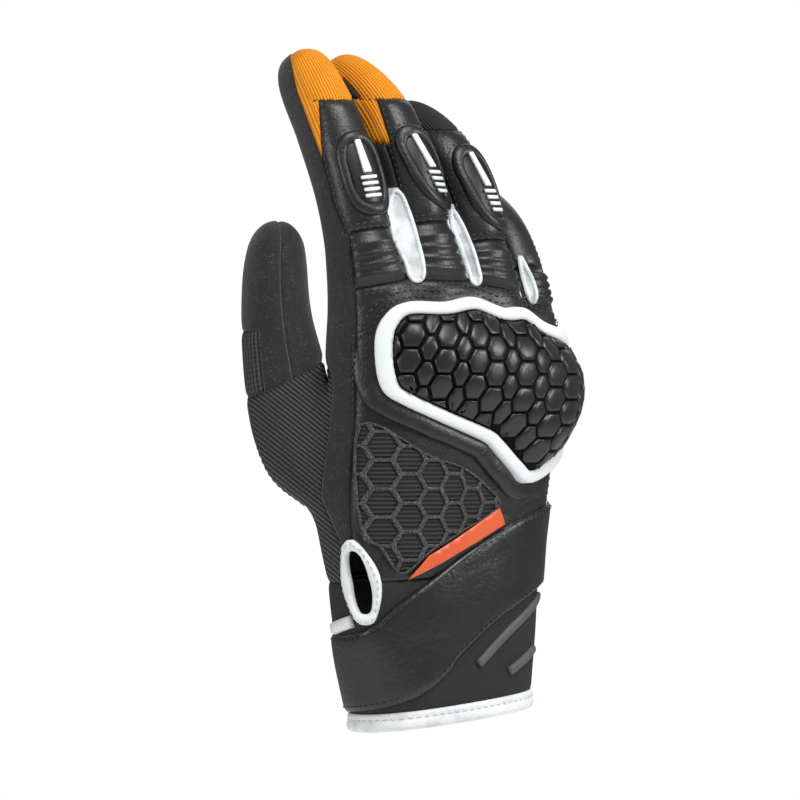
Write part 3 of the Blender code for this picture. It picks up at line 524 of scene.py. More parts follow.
# %% Growing the cage ring by ring
def next_ring(bm, ring, places):
    """Extrude a closed ring to new places."""
    edges = [bm.edges.get(pair) for pair in zip(ring, ring[1:] + ring[:1])]
    made = set(bmesh.ops.extrude_edge_only(bm, edges=edges)["geom"])
    upper = []
    for corner, place in zip(ring, places):
        mate = next(edge.other_vert(corner) for edge in corner.link_edges
                    if edge.other_vert(corner) in made)
        mate.co = place
        upper.append(mate)
    return upper


def mark_band(bm, lower, upper, panels, turns, heights):
    """Give the faces between two rings their panels and cloth coordinates."""
    cloth = bm.loops.layers.uv.verify()
    for step, panel in enumerate(panels):
        after = (step + 1) % len(lower)
        face = bm.faces.get((lower[step], lower[after], upper[after], upper[step]))
        face.material_index = HOLE if panel == HOLE else PANEL_NAMES.index(panel)
        spots = {}
        for ring, height in ((lower, heights[0]), (upper, heights[1])):
            spots[ring[step]] = (turns[step], height)
            spots[ring[after]] = (turns[step + 1], height)
        for loop in face.loops:
            loop[cloth].uv = spots[loop.vert]


def close_end(bm, ring, end, panels, turns, height):
    """Four faces from a ring to an end point."""
    cloth = bm.loops.layers.uv.verify()
    centre = bm.verts.new(end)
    for step, panel in enumerate(panels):
        corners = (ring[2 * step], ring[2 * step + 1], ring[(2 * step + 2) % 8])
        face = bm.faces.new((centre,) + corners)
        face.material_index = PANEL_NAMES.index(panel)
        spots = {corners[0]: turns[2 * step], corners[1]: turns[2 * step + 1],
                 corners[2]: turns[2 * step + 2], centre: turns[2 * step + 1]}
        for loop in face.loops:
            rise = 0.006 if loop.vert is centre else 0
            loop[cloth].uv = (spots[loop.vert], height + rise)


def finger_frame(bend, lean):
    bend, lean = math.radians(bend), math.radians(lean)
    along = Vector((-math.sin(lean), math.sin(bend), math.cos(bend))).normalized()
    out = Vector((math.cos(lean), 0, math.sin(lean))).cross(along).normalized()
    return along.cross(out).normalized(), out, along


def finger_line(root, name):
    """The stations of a finger: middle, across, out and size; then its end point."""
    length, lean, bends = FINGERS[name][0], FINGERS[name][3], FINGER_BENDS[name]
    place, done, stations = root.copy(), 0.0, []
    for number, (share, size) in enumerate(FINGER_STATIONS):
        along = finger_frame(bends[number], lean)[2]
        place = place + along * (share - done) * length
        done = share
        across, out, _ = finger_frame((bends[number] + bends[number + 1]) / 2, lean)
        stations.append((place.copy(), across, out, size))
    return stations, place + finger_frame(bends[-1], lean)[2] * (1 - done) * length


def grow_finger(bm, name, root_ring, radial, ulnar):
    """One finger from its root ring."""
    length, breadth, depth, _ = FINGERS[name]
    root = sum((corner.co for corner in root_ring), Vector()) / 8
    stations, end = finger_line(root, name)
    lower, done = root_ring, 0.0
    back, tip = name + "_back", name + "_tip"
    for band, (middle, across, out, size) in enumerate(stations):
        places = []
        for angle in map(math.radians, FINGER_CORNERS):
            reach = across * math.sin(angle) * breadth / 2 + out * math.cos(angle) * depth / 2
            places.append(middle + reach * size * CORNER_SPREAD)
        upper = next_ring(bm, lower, places)
        over = (name + "_flex", back, back, back, tip)[band]
        beside = tip if band == 4 else radial
        panels = (over, over, tip if band == 4 else ulnar, ulnar, "palm", "palm", radial, beside)
        turns = [math.radians(angle) * breadth / 2 for angle in FINGER_CORNERS + (304,)]
        share = FINGER_STATIONS[band][0]
        mark_band(bm, lower, upper, panels, turns, (done * length, share * length))
        lower, done = upper, share
    last = (tip, ulnar if name == "little" else tip, "palm", radial)
    close_end(bm, lower, end, last, turns, share * length)
    return stations


# %% The whole cage
def thumb_place(out, forward, up):
    """A place given in shares of the thumb's sizes."""
    return Vector((-out * THUMB_OUT, forward * THUMB_FORWARD, THUMB_CROTCH + up * THUMB_LENGTH))


def grow_thumb(bm, root_ring):
    """The thumb from the ring round its hole in the hand."""
    lower, height = root_ring, 0.0
    low = ("ribbed_gusset",) * 2 + ("palm",) * 4 + ("ribbed_gusset",) * 2
    top = ("thumb_inner",) * 4 + ("thumb_outer",) * 4
    ribbed = top[:5] + ("thumb_rib", "thumb_rib", "thumb_outer")
    turns = [math.radians(45 * step) * THUMB_BREADTH / 2 for step in range(9)]
    front = Vector((-math.sin(THUMB_FACING), -math.cos(THUMB_FACING), 0))
    for entry, panels in zip(THUMB_RINGS, (low, low, ribbed, top, top)):
        breadth, depth, tip = entry[3:]
        tip = math.radians(tip)
        inwards = Vector((math.cos(THUMB_FACING), -math.sin(THUMB_FACING), 0)) * math.cos(tip)
        inwards += Vector((0, 0, math.sin(tip)))
        places = []
        for step in range(8):
            angle = math.radians(45 * step)
            reach = inwards * math.sin(angle) * breadth * THUMB_BREADTH
            reach += front * math.cos(angle) * depth * THUMB_DEPTH
            places.append(thumb_place(*entry[:3]) + reach * CORNER_SPREAD)
        upper = next_ring(bm, lower, places)
        mark_band(bm, lower, upper, panels, turns, (height, height + THUMB_BAND))
        lower, height = upper, height + THUMB_BAND
    close_end(bm, lower, thumb_place(*THUMB_END), (top[0], top[0], top[4], top[4]), turns, height)


def grow_cage():
    bm = bmesh.new()
    first = bmesh.ops.create_circle(bm, segments=COLUMNS, radius=HAND_BREADTH / 2)["verts"]
    for column, corner in enumerate(first):
        corner.co = hand_corner(0, column)
    rings, turns = [first], [0.0]
    for column in range(COLUMNS):
        gap = hand_corner(5, (column + 1) % COLUMNS) - hand_corner(5, column)
        turns.append(turns[-1] + gap.length)
    for row in range(TOP_ROW):
        places = [hand_corner(row + 1, column) for column in range(COLUMNS)]
        rings.append(next_ring(bm, rings[-1], places))
        heights = [HAND_SECTIONS[number][0] * HAND_LENGTH for number in (row, row + 1)]
        mark_band(bm, rings[-2], rings[-1], [hand_panel(row, column) for column in range(COLUMNS)],
                  turns, heights)
    top = rings[-1]
    webs = []
    for column in WEB_COLUMNS:
        low, high = top[column], top[THUMB_COLUMN - 1 - column]
        web = bm.verts.new((low.co + high.co) / 2 + Vector((0, 0, WEB_RISE * HAND_LENGTH)))
        bm.edges.new((low, web))
        bm.edges.new((web, high))
        webs.append(web)
    sides = [top[THUMB_COLUMN]] + webs + [top[LITTLE_COLUMN]]
    side_names = ("side_panel", "index_middle_side", "middle_ring_side", "ring_little_side",
                  "little_side")
    lines = {}
    for number, name in enumerate(FINGERS):
        back = [top[2 * number + step] for step in range(3)]
        palm = [top[THUMB_COLUMN - 1 - 2 * number - step] for step in (2, 1, 0)]
        ring = back + [sides[number + 1]] + palm + [sides[number]]
        lines[name] = grow_finger(bm, name, ring, side_names[number], side_names[number + 1])
    openings = [face for face in bm.faces if face.material_index == HOLE]
    bmesh.ops.delete(bm, geom=openings, context="FACES")
    grow_thumb(bm, [rings[row][column] for row, column in THUMB_ROOT])
    bmesh.ops.recalc_face_normals(bm, faces=bm.faces)
    return bm, lines


def round_off(bm, levels):
    """The mesh of a bmesh after a subdivision surface."""
    mesh = bpy.data.meshes.new("rounding")
    bm.to_mesh(mesh)
    bm.free()
    thing = bpy.data.objects.new("rounding", mesh)
    bpy.context.scene.collection.objects.link(thing)
    rounding = thing.modifiers.new("rounding", "SUBSURF")
    rounding.levels = rounding.render_levels = levels
    shape = thing.evaluated_get(bpy.context.evaluated_depsgraph_get())
    made = bmesh.new()
    made.from_mesh(shape.to_mesh())
    shape.to_mesh_clear()
    bpy.data.objects.remove(thing, do_unlink=True)
    made.normal_update()
    return made


cage, finger_lines = grow_cage()
skin = round_off(cage, 4)
print("the skin has", len(skin.faces), "faces")

# %% [markdown]
# The cage's edges can't follow every seam. Near the fingertips the leather ends in a straight
# edge and the knit runs down beside it in a wedge, so those seams are cut across the rounded
# skin: each cut is a plane through two points, along the camera's line of sight.

# %% Seams cut across the skin
CUTS = (
    # panels, first point and second point as seen in mm, left or lower panel, right or upper panel
    (("index_back", "side_panel"), (-33.1, 172.8), (-37.8, 182.9), "side_panel", "index_back"),
    (("index_back", "side_panel"), (-37.8, 182.9), (-42.5, 200.9), "side_panel", "index_back"),
    (("index_back", "side_panel"), (-42.5, 200.9), (-43.6, 221.2), "index_tip", "index_back"),
    (("index_back",), (-60.0, 221.2), (-20.0, 222.4), None, "index_tip"),
    (("index_tip", "side_panel"), (-42.5, 200.9), (-51.5, 225.0), "side_panel", "index_tip"),
    (("index_tip", "side_panel"), (-51.5, 225.0), (-56.0, 247.0), "side_panel", "index_tip"),
    (("middle_back", "index_middle_side"), (-18.0, 206.5), (-22.9, 222.5),
     "middle_tip", "middle_back"),
    (("middle_back",), (-40.0, 222.3), (0.0, 223.3), None, "middle_tip"),
    (("ring_back",), (-20.0, 212.6), (10.0, 212.2), None, "ring_tip"),
)


def cut_seam(panels, first, second, left, right):
    """Cut the panels between two heights by a plane and hand over what lies on each side."""
    numbers = [PANEL_NAMES.index(name) for name in panels]
    first, second = (seen(right_of / 1000, up / 1000, 0) for right_of, up in (first, second))
    is_level = abs(second.z - first.z) < 0.002
    way = (second - first).cross(towards_camera).normalized() * (-1 if is_level else 1)

    def concerned():
        made = []
        for face in skin.faces:
            height = face.calc_center_median().z
            if face.material_index in numbers and (is_level or (
                    first.z <= height <= second.z + 0.0002
                    and face.normal.dot(towards_camera) > 0.1)):
                made.append(face)
        return made

    faces = concerned()
    geom = set(faces) | {edge for face in faces for edge in face.edges}
    geom |= {corner for face in faces for corner in face.verts}
    bmesh.ops.bisect_plane(skin, geom=list(geom), dist=1e-6, plane_co=first, plane_no=way)
    for face in concerned():
        panel = right if (face.calc_center_median() - first).dot(way) > 0 else left
        if panel:
            face.material_index = PANEL_NAMES.index(panel)


for cut_entry in CUTS:
    cut_seam(*cut_entry)
# between two heights the thumb gets narrower, as the camera sees it
THUMB_EDGE, THUMB_TAPER, TAPER_FROM, TAPER_TO = -0.0705, 0.17, 0.122, 0.165
thumb_panels = [number for number, name in enumerate(PANEL_NAMES) if name.startswith("thumb")]
for corner in {corner for face in skin.faces if face.material_index in thumb_panels
               for corner in face.verts}:
    wide = corner.co.dot(sideways) - THUMB_EDGE
    corner.co -= sideways * wide * THUMB_TAPER * ease(corner.co.z, TAPER_FROM, TAPER_TO)
skin.normal_update()
tree = BVHTree.FromBMesh(skin)
print("the skin has", len(skin.faces), "faces")

# %% [markdown]
# ## Seams, ribs and wrinkles
# A sewn panel bulges between its seams and dips into them. How far each point lies from the
# nearest seam sets both. On top come the sculpted forms: the accordion ribs over the knuckles,
# the creases of the leather, the folds of the palm and the soft dents of the suede.

# %% Distance from the seams
seam_points = [corner for corner in skin.verts if corner.is_boundary
               or len({face.material_index for face in corner.link_faces}) > 1]
finder = KDTree(len(seam_points))
for number, corner in enumerate(seam_points):
    finder.insert(corner.co, number)
finder.balance()
print("points on seams:", len(seam_points))


# %% Sculpted forms
FLEX_END, RIBS = 0.20, 4                # the accordion's share of the finger, and its ribs
RIB_HEIGHT, RIB_FLOOR, RIB_HEM = 0.0015, 0.0004, 0.0005
PUFF_REACH = 0.0022                     # how soon a panel bulges beside its seam
SEAM_DEPTH, SEAM_REACH = 0.00045, 0.0006


def ridge(point, scale, stretch=1.0):
    """Thin creases: high where the noise crosses zero."""
    value = noise.noise(Vector((point.x, point.y, point.z * stretch)) * scale)
    return max(0.0, 1 - abs(value) * 5)


def leather_form(spot):
    creased = ease(noise.noise(spot * 24 + Vector((3, 1, 7))), -0.1, 0.35)
    return noise.noise(spot * 55) * 0.00045 - ridge(spot, 60, 2.2) * 0.00035 * creased


def rib_form(along, length):
    """The accordion's ribs, between two sunken hems."""
    share = along / (FLEX_END * length)
    waves = abs(math.sin(math.pi * RIBS * (share - 0.14) / 0.72))
    inside = ease(share, 0.10, 0.20) * (1 - ease(share, 0.80, 0.90))
    hems = sum(math.exp(-((share - middle) / 0.04) ** 2) for middle in (0.07, 0.93))
    return inside * (waves ** 0.6 * RIB_HEIGHT - RIB_FLOOR) - hems * RIB_HEM


def palm_form(spot):
    soft = noise.noise(spot * 38) * 0.0006
    deep = ridge(spot, 26, 1.5) * 0.0006 * ease(noise.noise(spot * 15), 0.0, 0.3)
    return soft - deep


def suede_form(spot):
    return noise.noise(spot * 48) * 0.0005 - ridge(spot, 40, 0.6) * 0.00015


cloth_layer = skin.loops.layers.uv.verify()
moves = []
for corner in skin.verts:
    panel = PANEL_NAMES[corner.link_faces[0].material_index]
    spot = corner.co
    away = finder.find(spot)[2]
    _, finish, bulge = PANELS[panel]
    puff = bulge / 1000 * (1 - math.exp(-(away / PUFF_REACH) ** 2))
    rise = puff - SEAM_DEPTH * math.exp(-(away / SEAM_REACH) ** 2)
    fade = ease(away, 0.0004, 0.0030)
    if panel.endswith("_flex"):
        along = corner.link_loops[0][cloth_layer].uv[1]
        rise += rib_form(along, FINGERS[panel[:-5]][0]) * ease(away, 0.0, 0.0012)
    elif finish == "leather":
        rise += leather_form(spot) * fade
    elif panel == "palm":
        rise += palm_form(spot) * fade
    elif finish == "suede":
        rise += suede_form(spot) * fade
    elif finish in ("neoprene", "stretch"):
        rise += noise.noise(spot * 42) * 0.0005 * fade
    moves.append(rise)
for corner, rise in zip(skin.verts, moves):
    corner.co += corner.normal * rise
skin.normal_update()
fine_tree = BVHTree.FromBMesh(skin)
print("the deepest form is", round((max(moves) - min(moves)) * 1000, 2), "mm")


# %% Cut the skin into its panels
def add_piece(name, bm, material, slot, nodes, wall=0.0):
    """Make an object of a bmesh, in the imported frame, that stands for the named solids."""
    mesh = bpy.data.meshes.new(name)
    bm.to_mesh(mesh)
    bm.free()
    mesh.shade_smooth()
    mesh.materials.clear()
    mesh.materials.append(material)
    thing = bpy.data.objects.new(name, mesh)
    bpy.context.scene.collection.objects.link(thing)
    if wall:
        thick = thing.modifiers.new("wall", "SOLIDIFY")
        thick.thickness, thick.offset = wall, -1
    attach(thing, "root")
    if nodes:
        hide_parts(*nodes)
    return thing


PANEL_WALL = 0.0013


def cut_panel(name):
    """A copy of the skin with only one panel's faces."""
    number = PANEL_NAMES.index(name)
    bm = skin.copy()
    others = [face for face in bm.faces if face.material_index != number]
    bmesh.ops.delete(bm, geom=others, context="FACES")
    for face in bm.faces:
        face.material_index = 0
    return bm


for name, (material, slot, _) in PANELS.items():
    panel = add_piece(name + "_sewn", cut_panel(name), material, slot, [name], wall=PANEL_WALL)
    panel.data.uv_layers[0].name = "cloth"
print("sewn panels:", len(PANELS))

# %% [markdown]
# ## Laying flat patterns on the glove
# The guard, the mesh, the strap and the inserts are drawn flat, as a pattern cutter draws them,
# and then wrapped: each flat point becomes a direction round the hand or the finger, and a ray in
# that direction finds the skin.

# %% Wrapping
PATTERN_AXIS = 0.333 * HAND_DEPTH
PATTERN_RADIUS = 0.37 * HAND_BREADTH
FINGER_RADIUS = 0.49 * 0.0275


def on_hand(across, up, rise):
    angle = across / PATTERN_RADIUS
    out = Vector((math.sin(angle), -math.cos(angle), 0))
    hit = tree.ray_cast(Vector((0, PATTERN_AXIS, up)), out)[0]
    return hit + out * rise


def on_finger(name):
    """A way of placing a flat point on a finger."""
    stations = finger_lines[name]
    marks = [0.0]
    for before, after in zip(stations, stations[1:]):
        marks.append(marks[-1] + (after[0] - before[0]).length)

    def place(across, along, rise):
        step = 0
        while step < len(marks) - 2 and along > marks[step + 1]:
            step += 1
        share = (along - marks[step]) / (marks[step + 1] - marks[step])
        middle, sidewise, out = (stations[step][part].lerp(stations[step + 1][part], share)
                                 for part in range(3))
        angle = across / FINGER_RADIUS
        way = out.normalized() * math.cos(angle) + sidewise.normalized() * math.sin(angle)
        way.normalize()
        return tree.ray_cast(middle, way)[0] + way * rise

    return place


def turned(table):
    """Angles and height shares as points of the hand's flat pattern."""
    return [(math.radians(turn) * PATTERN_RADIUS, up * HAND_LENGTH) for turn, up in table]


def smooth_line(points, steps, closed):
    """A Catmull-Rom line through points."""
    count, made = len(points), []
    for step in range(count if closed else count - 1):
        if closed:
            four = [points[(step + shift) % count] for shift in (-1, 0, 1, 2)]
        else:
            four = [points[max(0, min(count - 1, step + shift))] for shift in (-1, 0, 1, 2)]
        for part in range(steps):
            t = part / steps
            made.append(tuple(
                0.5 * (2 * h + (a - b) * t + (2 * b - 5 * h + 4 * a - e) * t * t
                       + (3 * h - b - 3 * a + e) * t ** 3) for b, h, a, e in zip(*four)))
    return made if closed else made + [tuple(points[-1])]


def beside(line, shift, closed):
    """A line beside another, shifted to its left."""
    count, made = len(line), []
    for step, point in enumerate(line):
        before = line[step - 1] if closed else line[max(step - 1, 0)]
        after = line[(step + 1) % count] if closed else line[min(step + 1, count - 1)]
        run = (Vector(after) - Vector(before)).normalized()
        made.append((point[0] - run.y * shift, point[1] + run.x * shift))
    return made


def sweep(line, section, closed, place, taper=0):
    """A band along a flat line. Each section corner is a sideways shift and a rise."""
    rails = [beside(line, shift, closed) for shift, _ in section]
    rings = []
    for step in range(len(line)):
        full = ease(min(step, len(line) - 1 - step), -1, taper) if taper else 1.0
        rings.append([place(*rail[step], rise * full) for rail, (_, rise) in zip(rails, section)])
    return loft(rings, closed)


def loft(rings, closed):
    bm = bmesh.new()
    ring = bmesh.ops.create_circle(bm, segments=len(rings[0]), radius=1)["verts"]
    first = ring
    for corner, place in zip(ring, rings[0]):
        corner.co = place
    for places in rings[1:] + (rings[:1] if closed else []):
        ring = next_ring(bm, ring, places)
    if closed:
        bmesh.ops.remove_doubles(bm, verts=bm.verts, dist=1e-6)
    else:
        bmesh.ops.holes_fill(bm, edges=[edge for edge in bm.edges if edge.is_boundary], sides=0)
    bmesh.ops.recalc_face_normals(bm, faces=bm.faces)
    return bm


def domed(width, height, seat=0.0, steps=8, flat=0.7):
    """A section that is flat below and round above."""
    made = [(-width / 2, seat - 0.0006)]
    for step in range(steps + 1):
        angle = math.pi * step / steps
        made.append((-width / 2 * math.copysign(abs(math.cos(angle)) ** 0.75, math.cos(angle)),
                     seat + height * math.sin(angle) ** flat if 0 < step < steps else seat))
    return made + [(width / 2, seat - 0.0006)]


print("patterns are drawn at a radius of", round(PATTERN_RADIUS * 1000, 1), "mm")

# %% [markdown]
# ## The knuckle guard
# The guard is a domed shell covered in raised hexagon tiles, in columns of wide and narrow tiles
# by turns, with a white rubber rim. The outline is one flat face. Cutting it along a grid gives
# the shell enough points to bend; cutting copies of it by the six sides of each hexagon gives the
# tiles, which insets then raise with sloped shoulders.

# %% Guard outline and rim
GUARD_FOOT, GUARD_HEIGHT = 0.087, 0.062
GUARD_START, GUARD_LENGTH = -0.0288, 0.0745
GUARD_OUTLINE = (
    (0.000, 0.78), (0.026, 0.91), (0.085, 0.97), (0.240, 0.97), (0.400, 1.00), (0.547, 0.94),
    (0.658, 0.94), (0.752, 0.86), (0.870, 0.79), (0.965, 0.66), (1.000, 0.46), (0.940, 0.27),
    (0.810, 0.11), (0.658, 0.00), (0.581, 0.06), (0.487, 0.18), (0.427, 0.24), (0.240, 0.34),
    (0.077, 0.45), (0.017, 0.54),
)
RIM_WIDTH = 0.0049
guard_outline = smooth_line([(GUARD_START + across * GUARD_LENGTH, GUARD_FOOT + up * GUARD_HEIGHT)
                             for across, up in GUARD_OUTLINE], 6, True)
rim = sweep(guard_outline, domed(RIM_WIDTH, 0.0032, 0.0010, flat=0.4), True, on_hand)
add_piece("guard_rim_moulded", rim, rim_rubber, "white_rubber", ["guard_rim"])
shell_edge = beside(guard_outline, -RIM_WIDTH / 2 + 0.0004, True)
print("rim points:", len(guard_outline))


# %% Cutting a flat face
def flat_face(outline):
    """A bmesh with one face of the given outline."""
    bm = bmesh.new()
    corners = bmesh.ops.create_circle(bm, segments=len(outline), radius=1, cap_ends=True)["verts"]
    for corner, (across, up) in zip(corners, outline):
        corner.co = (across, up, 0)
    bm.normal_update()
    if any(face.normal.z < 0 for face in bm.faces):
        bmesh.ops.reverse_faces(bm, faces=bm.faces)
    return bm


def cut(bm, point, way, clear=False):
    """Cut all faces by a line, and drop what lies beyond it if asked."""
    everything = list(bm.verts) + list(bm.edges) + list(bm.faces)
    bmesh.ops.bisect_plane(bm, geom=everything, plane_co=(*point, 0), plane_no=(*way, 0),
                           dist=1e-7, clear_outer=clear)


def cut_grid(bm, cell):
    """Cut a flat face into squares."""
    for axis in (0, 1):
        low = min(corner.co[axis] for corner in bm.verts)
        high = max(corner.co[axis] for corner in bm.verts)
        count = int((high - low) / cell)
        way = (1, 0) if axis == 0 else (0, 1)
        for step in range(1, count + 1):
            place = low + (high - low) * step / (count + 1)
            cut(bm, (place * way[0], place * way[1]), way)


def flat_sheet(outline, cell, height=0.0, triangles=True):
    """A flat piece at a height, with enough corners to bend."""
    bm = flat_face(outline)
    cut_grid(bm, cell)
    if triangles:
        bmesh.ops.triangulate(bm, faces=bm.faces)
    for corner in bm.verts:
        corner.co.z = height
    return bm


def hexagon_columns(low, high, flats, slant, pitch, lean=0.0):
    """Hexagons in leaning columns. Flats are half the columns' level sides, by turns."""
    made, x, column = [], low[0], 0
    while x < high[0] + pitch:
        flat = flats[column % len(flats)]
        count = int((high[1] - low[1]) / pitch) + 3
        for row in range(-1, count):
            y = low[1] + (row + 0.5 * (column % 2)) * pitch
            corners = [(x + flat, y + pitch / 2), (x - flat, y + pitch / 2), (x - flat - slant, y),
                       (x - flat, y - pitch / 2), (x + flat, y - pitch / 2), (x + flat + slant, y)]
            made.append([(across + lean * (up - low[1]), up) for across, up in corners])
        x += flat + flats[(column + 1) % len(flats)] + slant
        column += 1
    return made


SMALLEST_TILE = 3e-6   # square metres


def tiles_of(outline, hexagons, gap):
    """The parts of an outline inside each hexagon, held back from its sides, as flat bmeshes."""
    made = []
    for hexagon in hexagons:
        bm = flat_face(outline)
        middle = sum((Vector(corner) for corner in hexagon), Vector((0, 0))) / 6
        for here, after in zip(hexagon, hexagon[1:] + hexagon[:1]):
            here, after = Vector(here), Vector(after)
            way = Vector((after.y - here.y, here.x - after.x)).normalized()
            if way.dot(middle - here) > 0:
                way = -way
            cut(bm, here - way * gap / 2, way, clear=True)
            if not bm.faces:
                break
        if bm.faces and sum(face.calc_area() for face in bm.faces) > SMALLEST_TILE:
            made.append(bm)
        else:
            bm.free()
    return made


def gather(parts):
    """Several bmeshes joined into one."""
    whole = bmesh.new()
    for part in parts:
        mesh = bpy.data.meshes.new("part")
        part.to_mesh(mesh)
        part.free()
        whole.from_mesh(mesh)
        bpy.data.meshes.remove(mesh)
    return whole


def wrap(bm, place, swell=lambda across, up: 0.0):
    """Bend a flat bmesh over the glove. A point's height is its rise."""
    for corner in bm.verts:
        across, up, rise = corner.co
        corner.co = place(across, up, rise + swell(across, up))
    bm.normal_update()
    return bm


# %% The shell and its tiles
SHELL_RISE, SHELL_SEAT, SHELL_SLOPE = 0.0078, 0.0034, 0.0150
TILE_FLATS = (0.0021, 0.0012, 0.0020, 0.0021, 0.0012)
TILE_SLANT, TILE_PITCH, TILE_LEAN, TILE_GAP = 0.0016, 0.0092, 0.12, 0.0009
FULL_TILE = 0.0065
SHOULDERS = ((0.00012, 0.00075), (0.00034, 0.00022), (0.0012, 0.00016))   # inset and rise
edge_finder = KDTree(len(shell_edge))
for number, (across, up) in enumerate(shell_edge):
    edge_finder.insert((across, up, 0), number)
edge_finder.balance()


def guard_swell(across, up):
    """How far the shell stands over the skin: a dome, lower at the index finger's end."""
    inward = min(1.0, edge_finder.find((across, up, 0))[2] / SHELL_SLOPE)
    share = (across - GUARD_START) / GUARD_LENGTH
    full = 0.55 + 0.45 * min(1.0, 1.4 * share)
    return SHELL_RISE * full * math.sin(inward * math.pi / 2) + SHELL_SEAT


shell = wrap(flat_sheet(shell_edge, 0.0020), on_hand, guard_swell)
# the shell under the tiles carries the painted shade of the grooves
add_piece("guard_shell_moulded", shell, groove_shell_painted_shade, "hard_shell", ["knuckle_guard"], wall=0.0012)
hexagons = hexagon_columns((GUARD_START - 0.014, GUARD_FOOT), (GUARD_START + GUARD_LENGTH, 0.150),
                           TILE_FLATS, TILE_SLANT, TILE_PITCH, TILE_LEAN)
tile_parts = []
for tile in tiles_of(beside(shell_edge, -0.0006, True), hexagons, TILE_GAP):
    bmesh.ops.dissolve_limit(tile, angle_limit=0.02, verts=tile.verts, edges=tile.edges)
    faces = list(tile.faces)
    size = min(1.0, math.sqrt(sum(face.calc_area() for face in faces)) / FULL_TILE)
    for inset, rise in SHOULDERS:
        bmesh.ops.inset_region(tile, faces=faces, thickness=inset * size, use_boundary=True)
        for corner in {corner for face in faces for corner in face.verts}:
            corner.co.z += rise
    bmesh.ops.poke(tile, faces=faces)
    tile_parts.append(tile)
tiles = gather(tile_parts)
wrap(tiles, on_hand, guard_swell)
add_piece("guard_tiles_moulded", tiles, guard_shell, "hard_shell", ["knuckle_guard"])
print("tiles:", len(tile_parts))

# %% [markdown]
# ## The padded fold under the guard
# Below the guard the leather is folded over a foam roll. It is a band with a high round section
# along the rim's lower side.

# %% Padded fold
below = beside(guard_outline, RIM_WIDTH / 2 + 0.0030, True)[75:]
pad = sweep(below, domed(0.0068, 0.0028, 0.0), False, on_hand, taper=9)
for corner in pad.verts:
    corner.co += corner.normal * noise.noise(corner.co * 120) * 0.0004
pad_piece = add_piece("guard_pad_leather", pad, back_leather, "leather", ["guard_pad"])
print("the fold has", len(below), "rings")

# %% [markdown]
# ## Mesh panel with its honeycomb
# The panel under the guard is a ribbed net with rubber hexagons printed on it. The net is a thin
# wrapped sheet. For the print, each hexagon is inset and its middle removed, so that only the
# bars stay, and the bars are extruded upwards.

# %% Net and honeycomb
NET_OUTLINE = ((-58, 0.684), (-29, 0.616), (-8, 0.584), (7, 0.542), (16, 0.492), (-8, 0.436),
               (-26, 0.392), (-41, 0.338), (-50, 0.400), (-57, 0.440))
COMB_FLAT, COMB_PITCH, COMB_BAR, COMB_LOW, COMB_HIGH = 0.0023, 0.0102, 0.00078, 0.0011, 0.0017
net_outline = smooth_line(turned(NET_OUTLINE), 5, True)
net = wrap(flat_sheet(net_outline, 0.0022, 0.0012), on_hand)
add_piece("mesh_net", net, net_cloth, "net", ["mesh_panel"], wall=0.0010)
low = [min(point[axis] for point in net_outline) for axis in (0, 1)]
high = [max(point[axis] for point in net_outline) for axis in (0, 1)]
combs = []
for cell in tiles_of(net_outline,
                     hexagon_columns(low, high, (COMB_FLAT,), COMB_FLAT, COMB_PITCH), 0):
    bmesh.ops.dissolve_limit(cell, angle_limit=0.02, verts=cell.verts, edges=cell.edges)
    faces = list(cell.faces)
    bmesh.ops.inset_region(cell, faces=faces, thickness=COMB_BAR, use_boundary=True)
    bmesh.ops.delete(cell, geom=faces, context="FACES")
    combs.append(cell)
comb = gather(combs)
bmesh.ops.remove_doubles(comb, verts=comb.verts, dist=2e-5)
long_edges = [edge for edge in comb.edges if edge.calc_length() > 0.003]
bmesh.ops.subdivide_edges(comb, edges=long_edges, cuts=2)
for corner in comb.verts:
    corner.co.z = COMB_LOW
raised = bmesh.ops.extrude_face_region(comb, geom=list(comb.faces))["geom"]
for item in raised:
    if isinstance(item, bmesh.types.BMVert):
        item.co.z = COMB_HIGH
bmesh.ops.recalc_face_normals(comb, faces=comb.faces)
add_piece("mesh_comb", wrap(comb, on_hand), comb_rubber, "net", ["mesh_panel"])
print("honeycomb cells:", len(combs))

# %% [markdown]
# ## Blade, strap and the cuff's bars
# The orange-red blade is a thin glossy film. The strap is a wide leather band across the wrist,
# fastened, with its edges turned under. Two rubber bars are moulded on the cuff.

# %% Blade, strap and bars
BLADE_OUTLINE = ((-38, 0.326), (-28, 0.381), (-8, 0.432), (15, 0.489), (19, 0.452), (-10, 0.390))
STRAP_LINE = ((-92, 0.108), (-67, 0.110), (-50, 0.125), (-35, 0.164), (-25, 0.213),
              (3, 0.303), (31, 0.366), (50, 0.397), (68, 0.418))
LONG_BAR = ((3, 0.130), (25, 0.206), (53, 0.284))
SHORT_BAR = ((25, 0.110), (47, 0.161))
blade = wrap(flat_sheet(turned(BLADE_OUTLINE), 0.0022, 0.0023, triangles=False), on_hand)
add_piece("blade_film", blade, blade_film, "red_film", ["blade_strip"], wall=0.0006)
STRAP_WIDTH, STRAP_STEPS = 0.0275, 24


def strap_section():
    """A wide band, thick in the middle and rolled at its edges."""
    half, made = STRAP_WIDTH / 2, [(-STRAP_WIDTH / 2, 0.0006)]
    for step in range(STRAP_STEPS + 1):
        shift = -half + STRAP_WIDTH * step / STRAP_STEPS
        edge = 1 - (abs(shift) / half) ** 8
        made.append((shift, 0.0010 + 0.0013 * max(0.0, edge) ** 0.5))
    return made + [(half, 0.0006)]


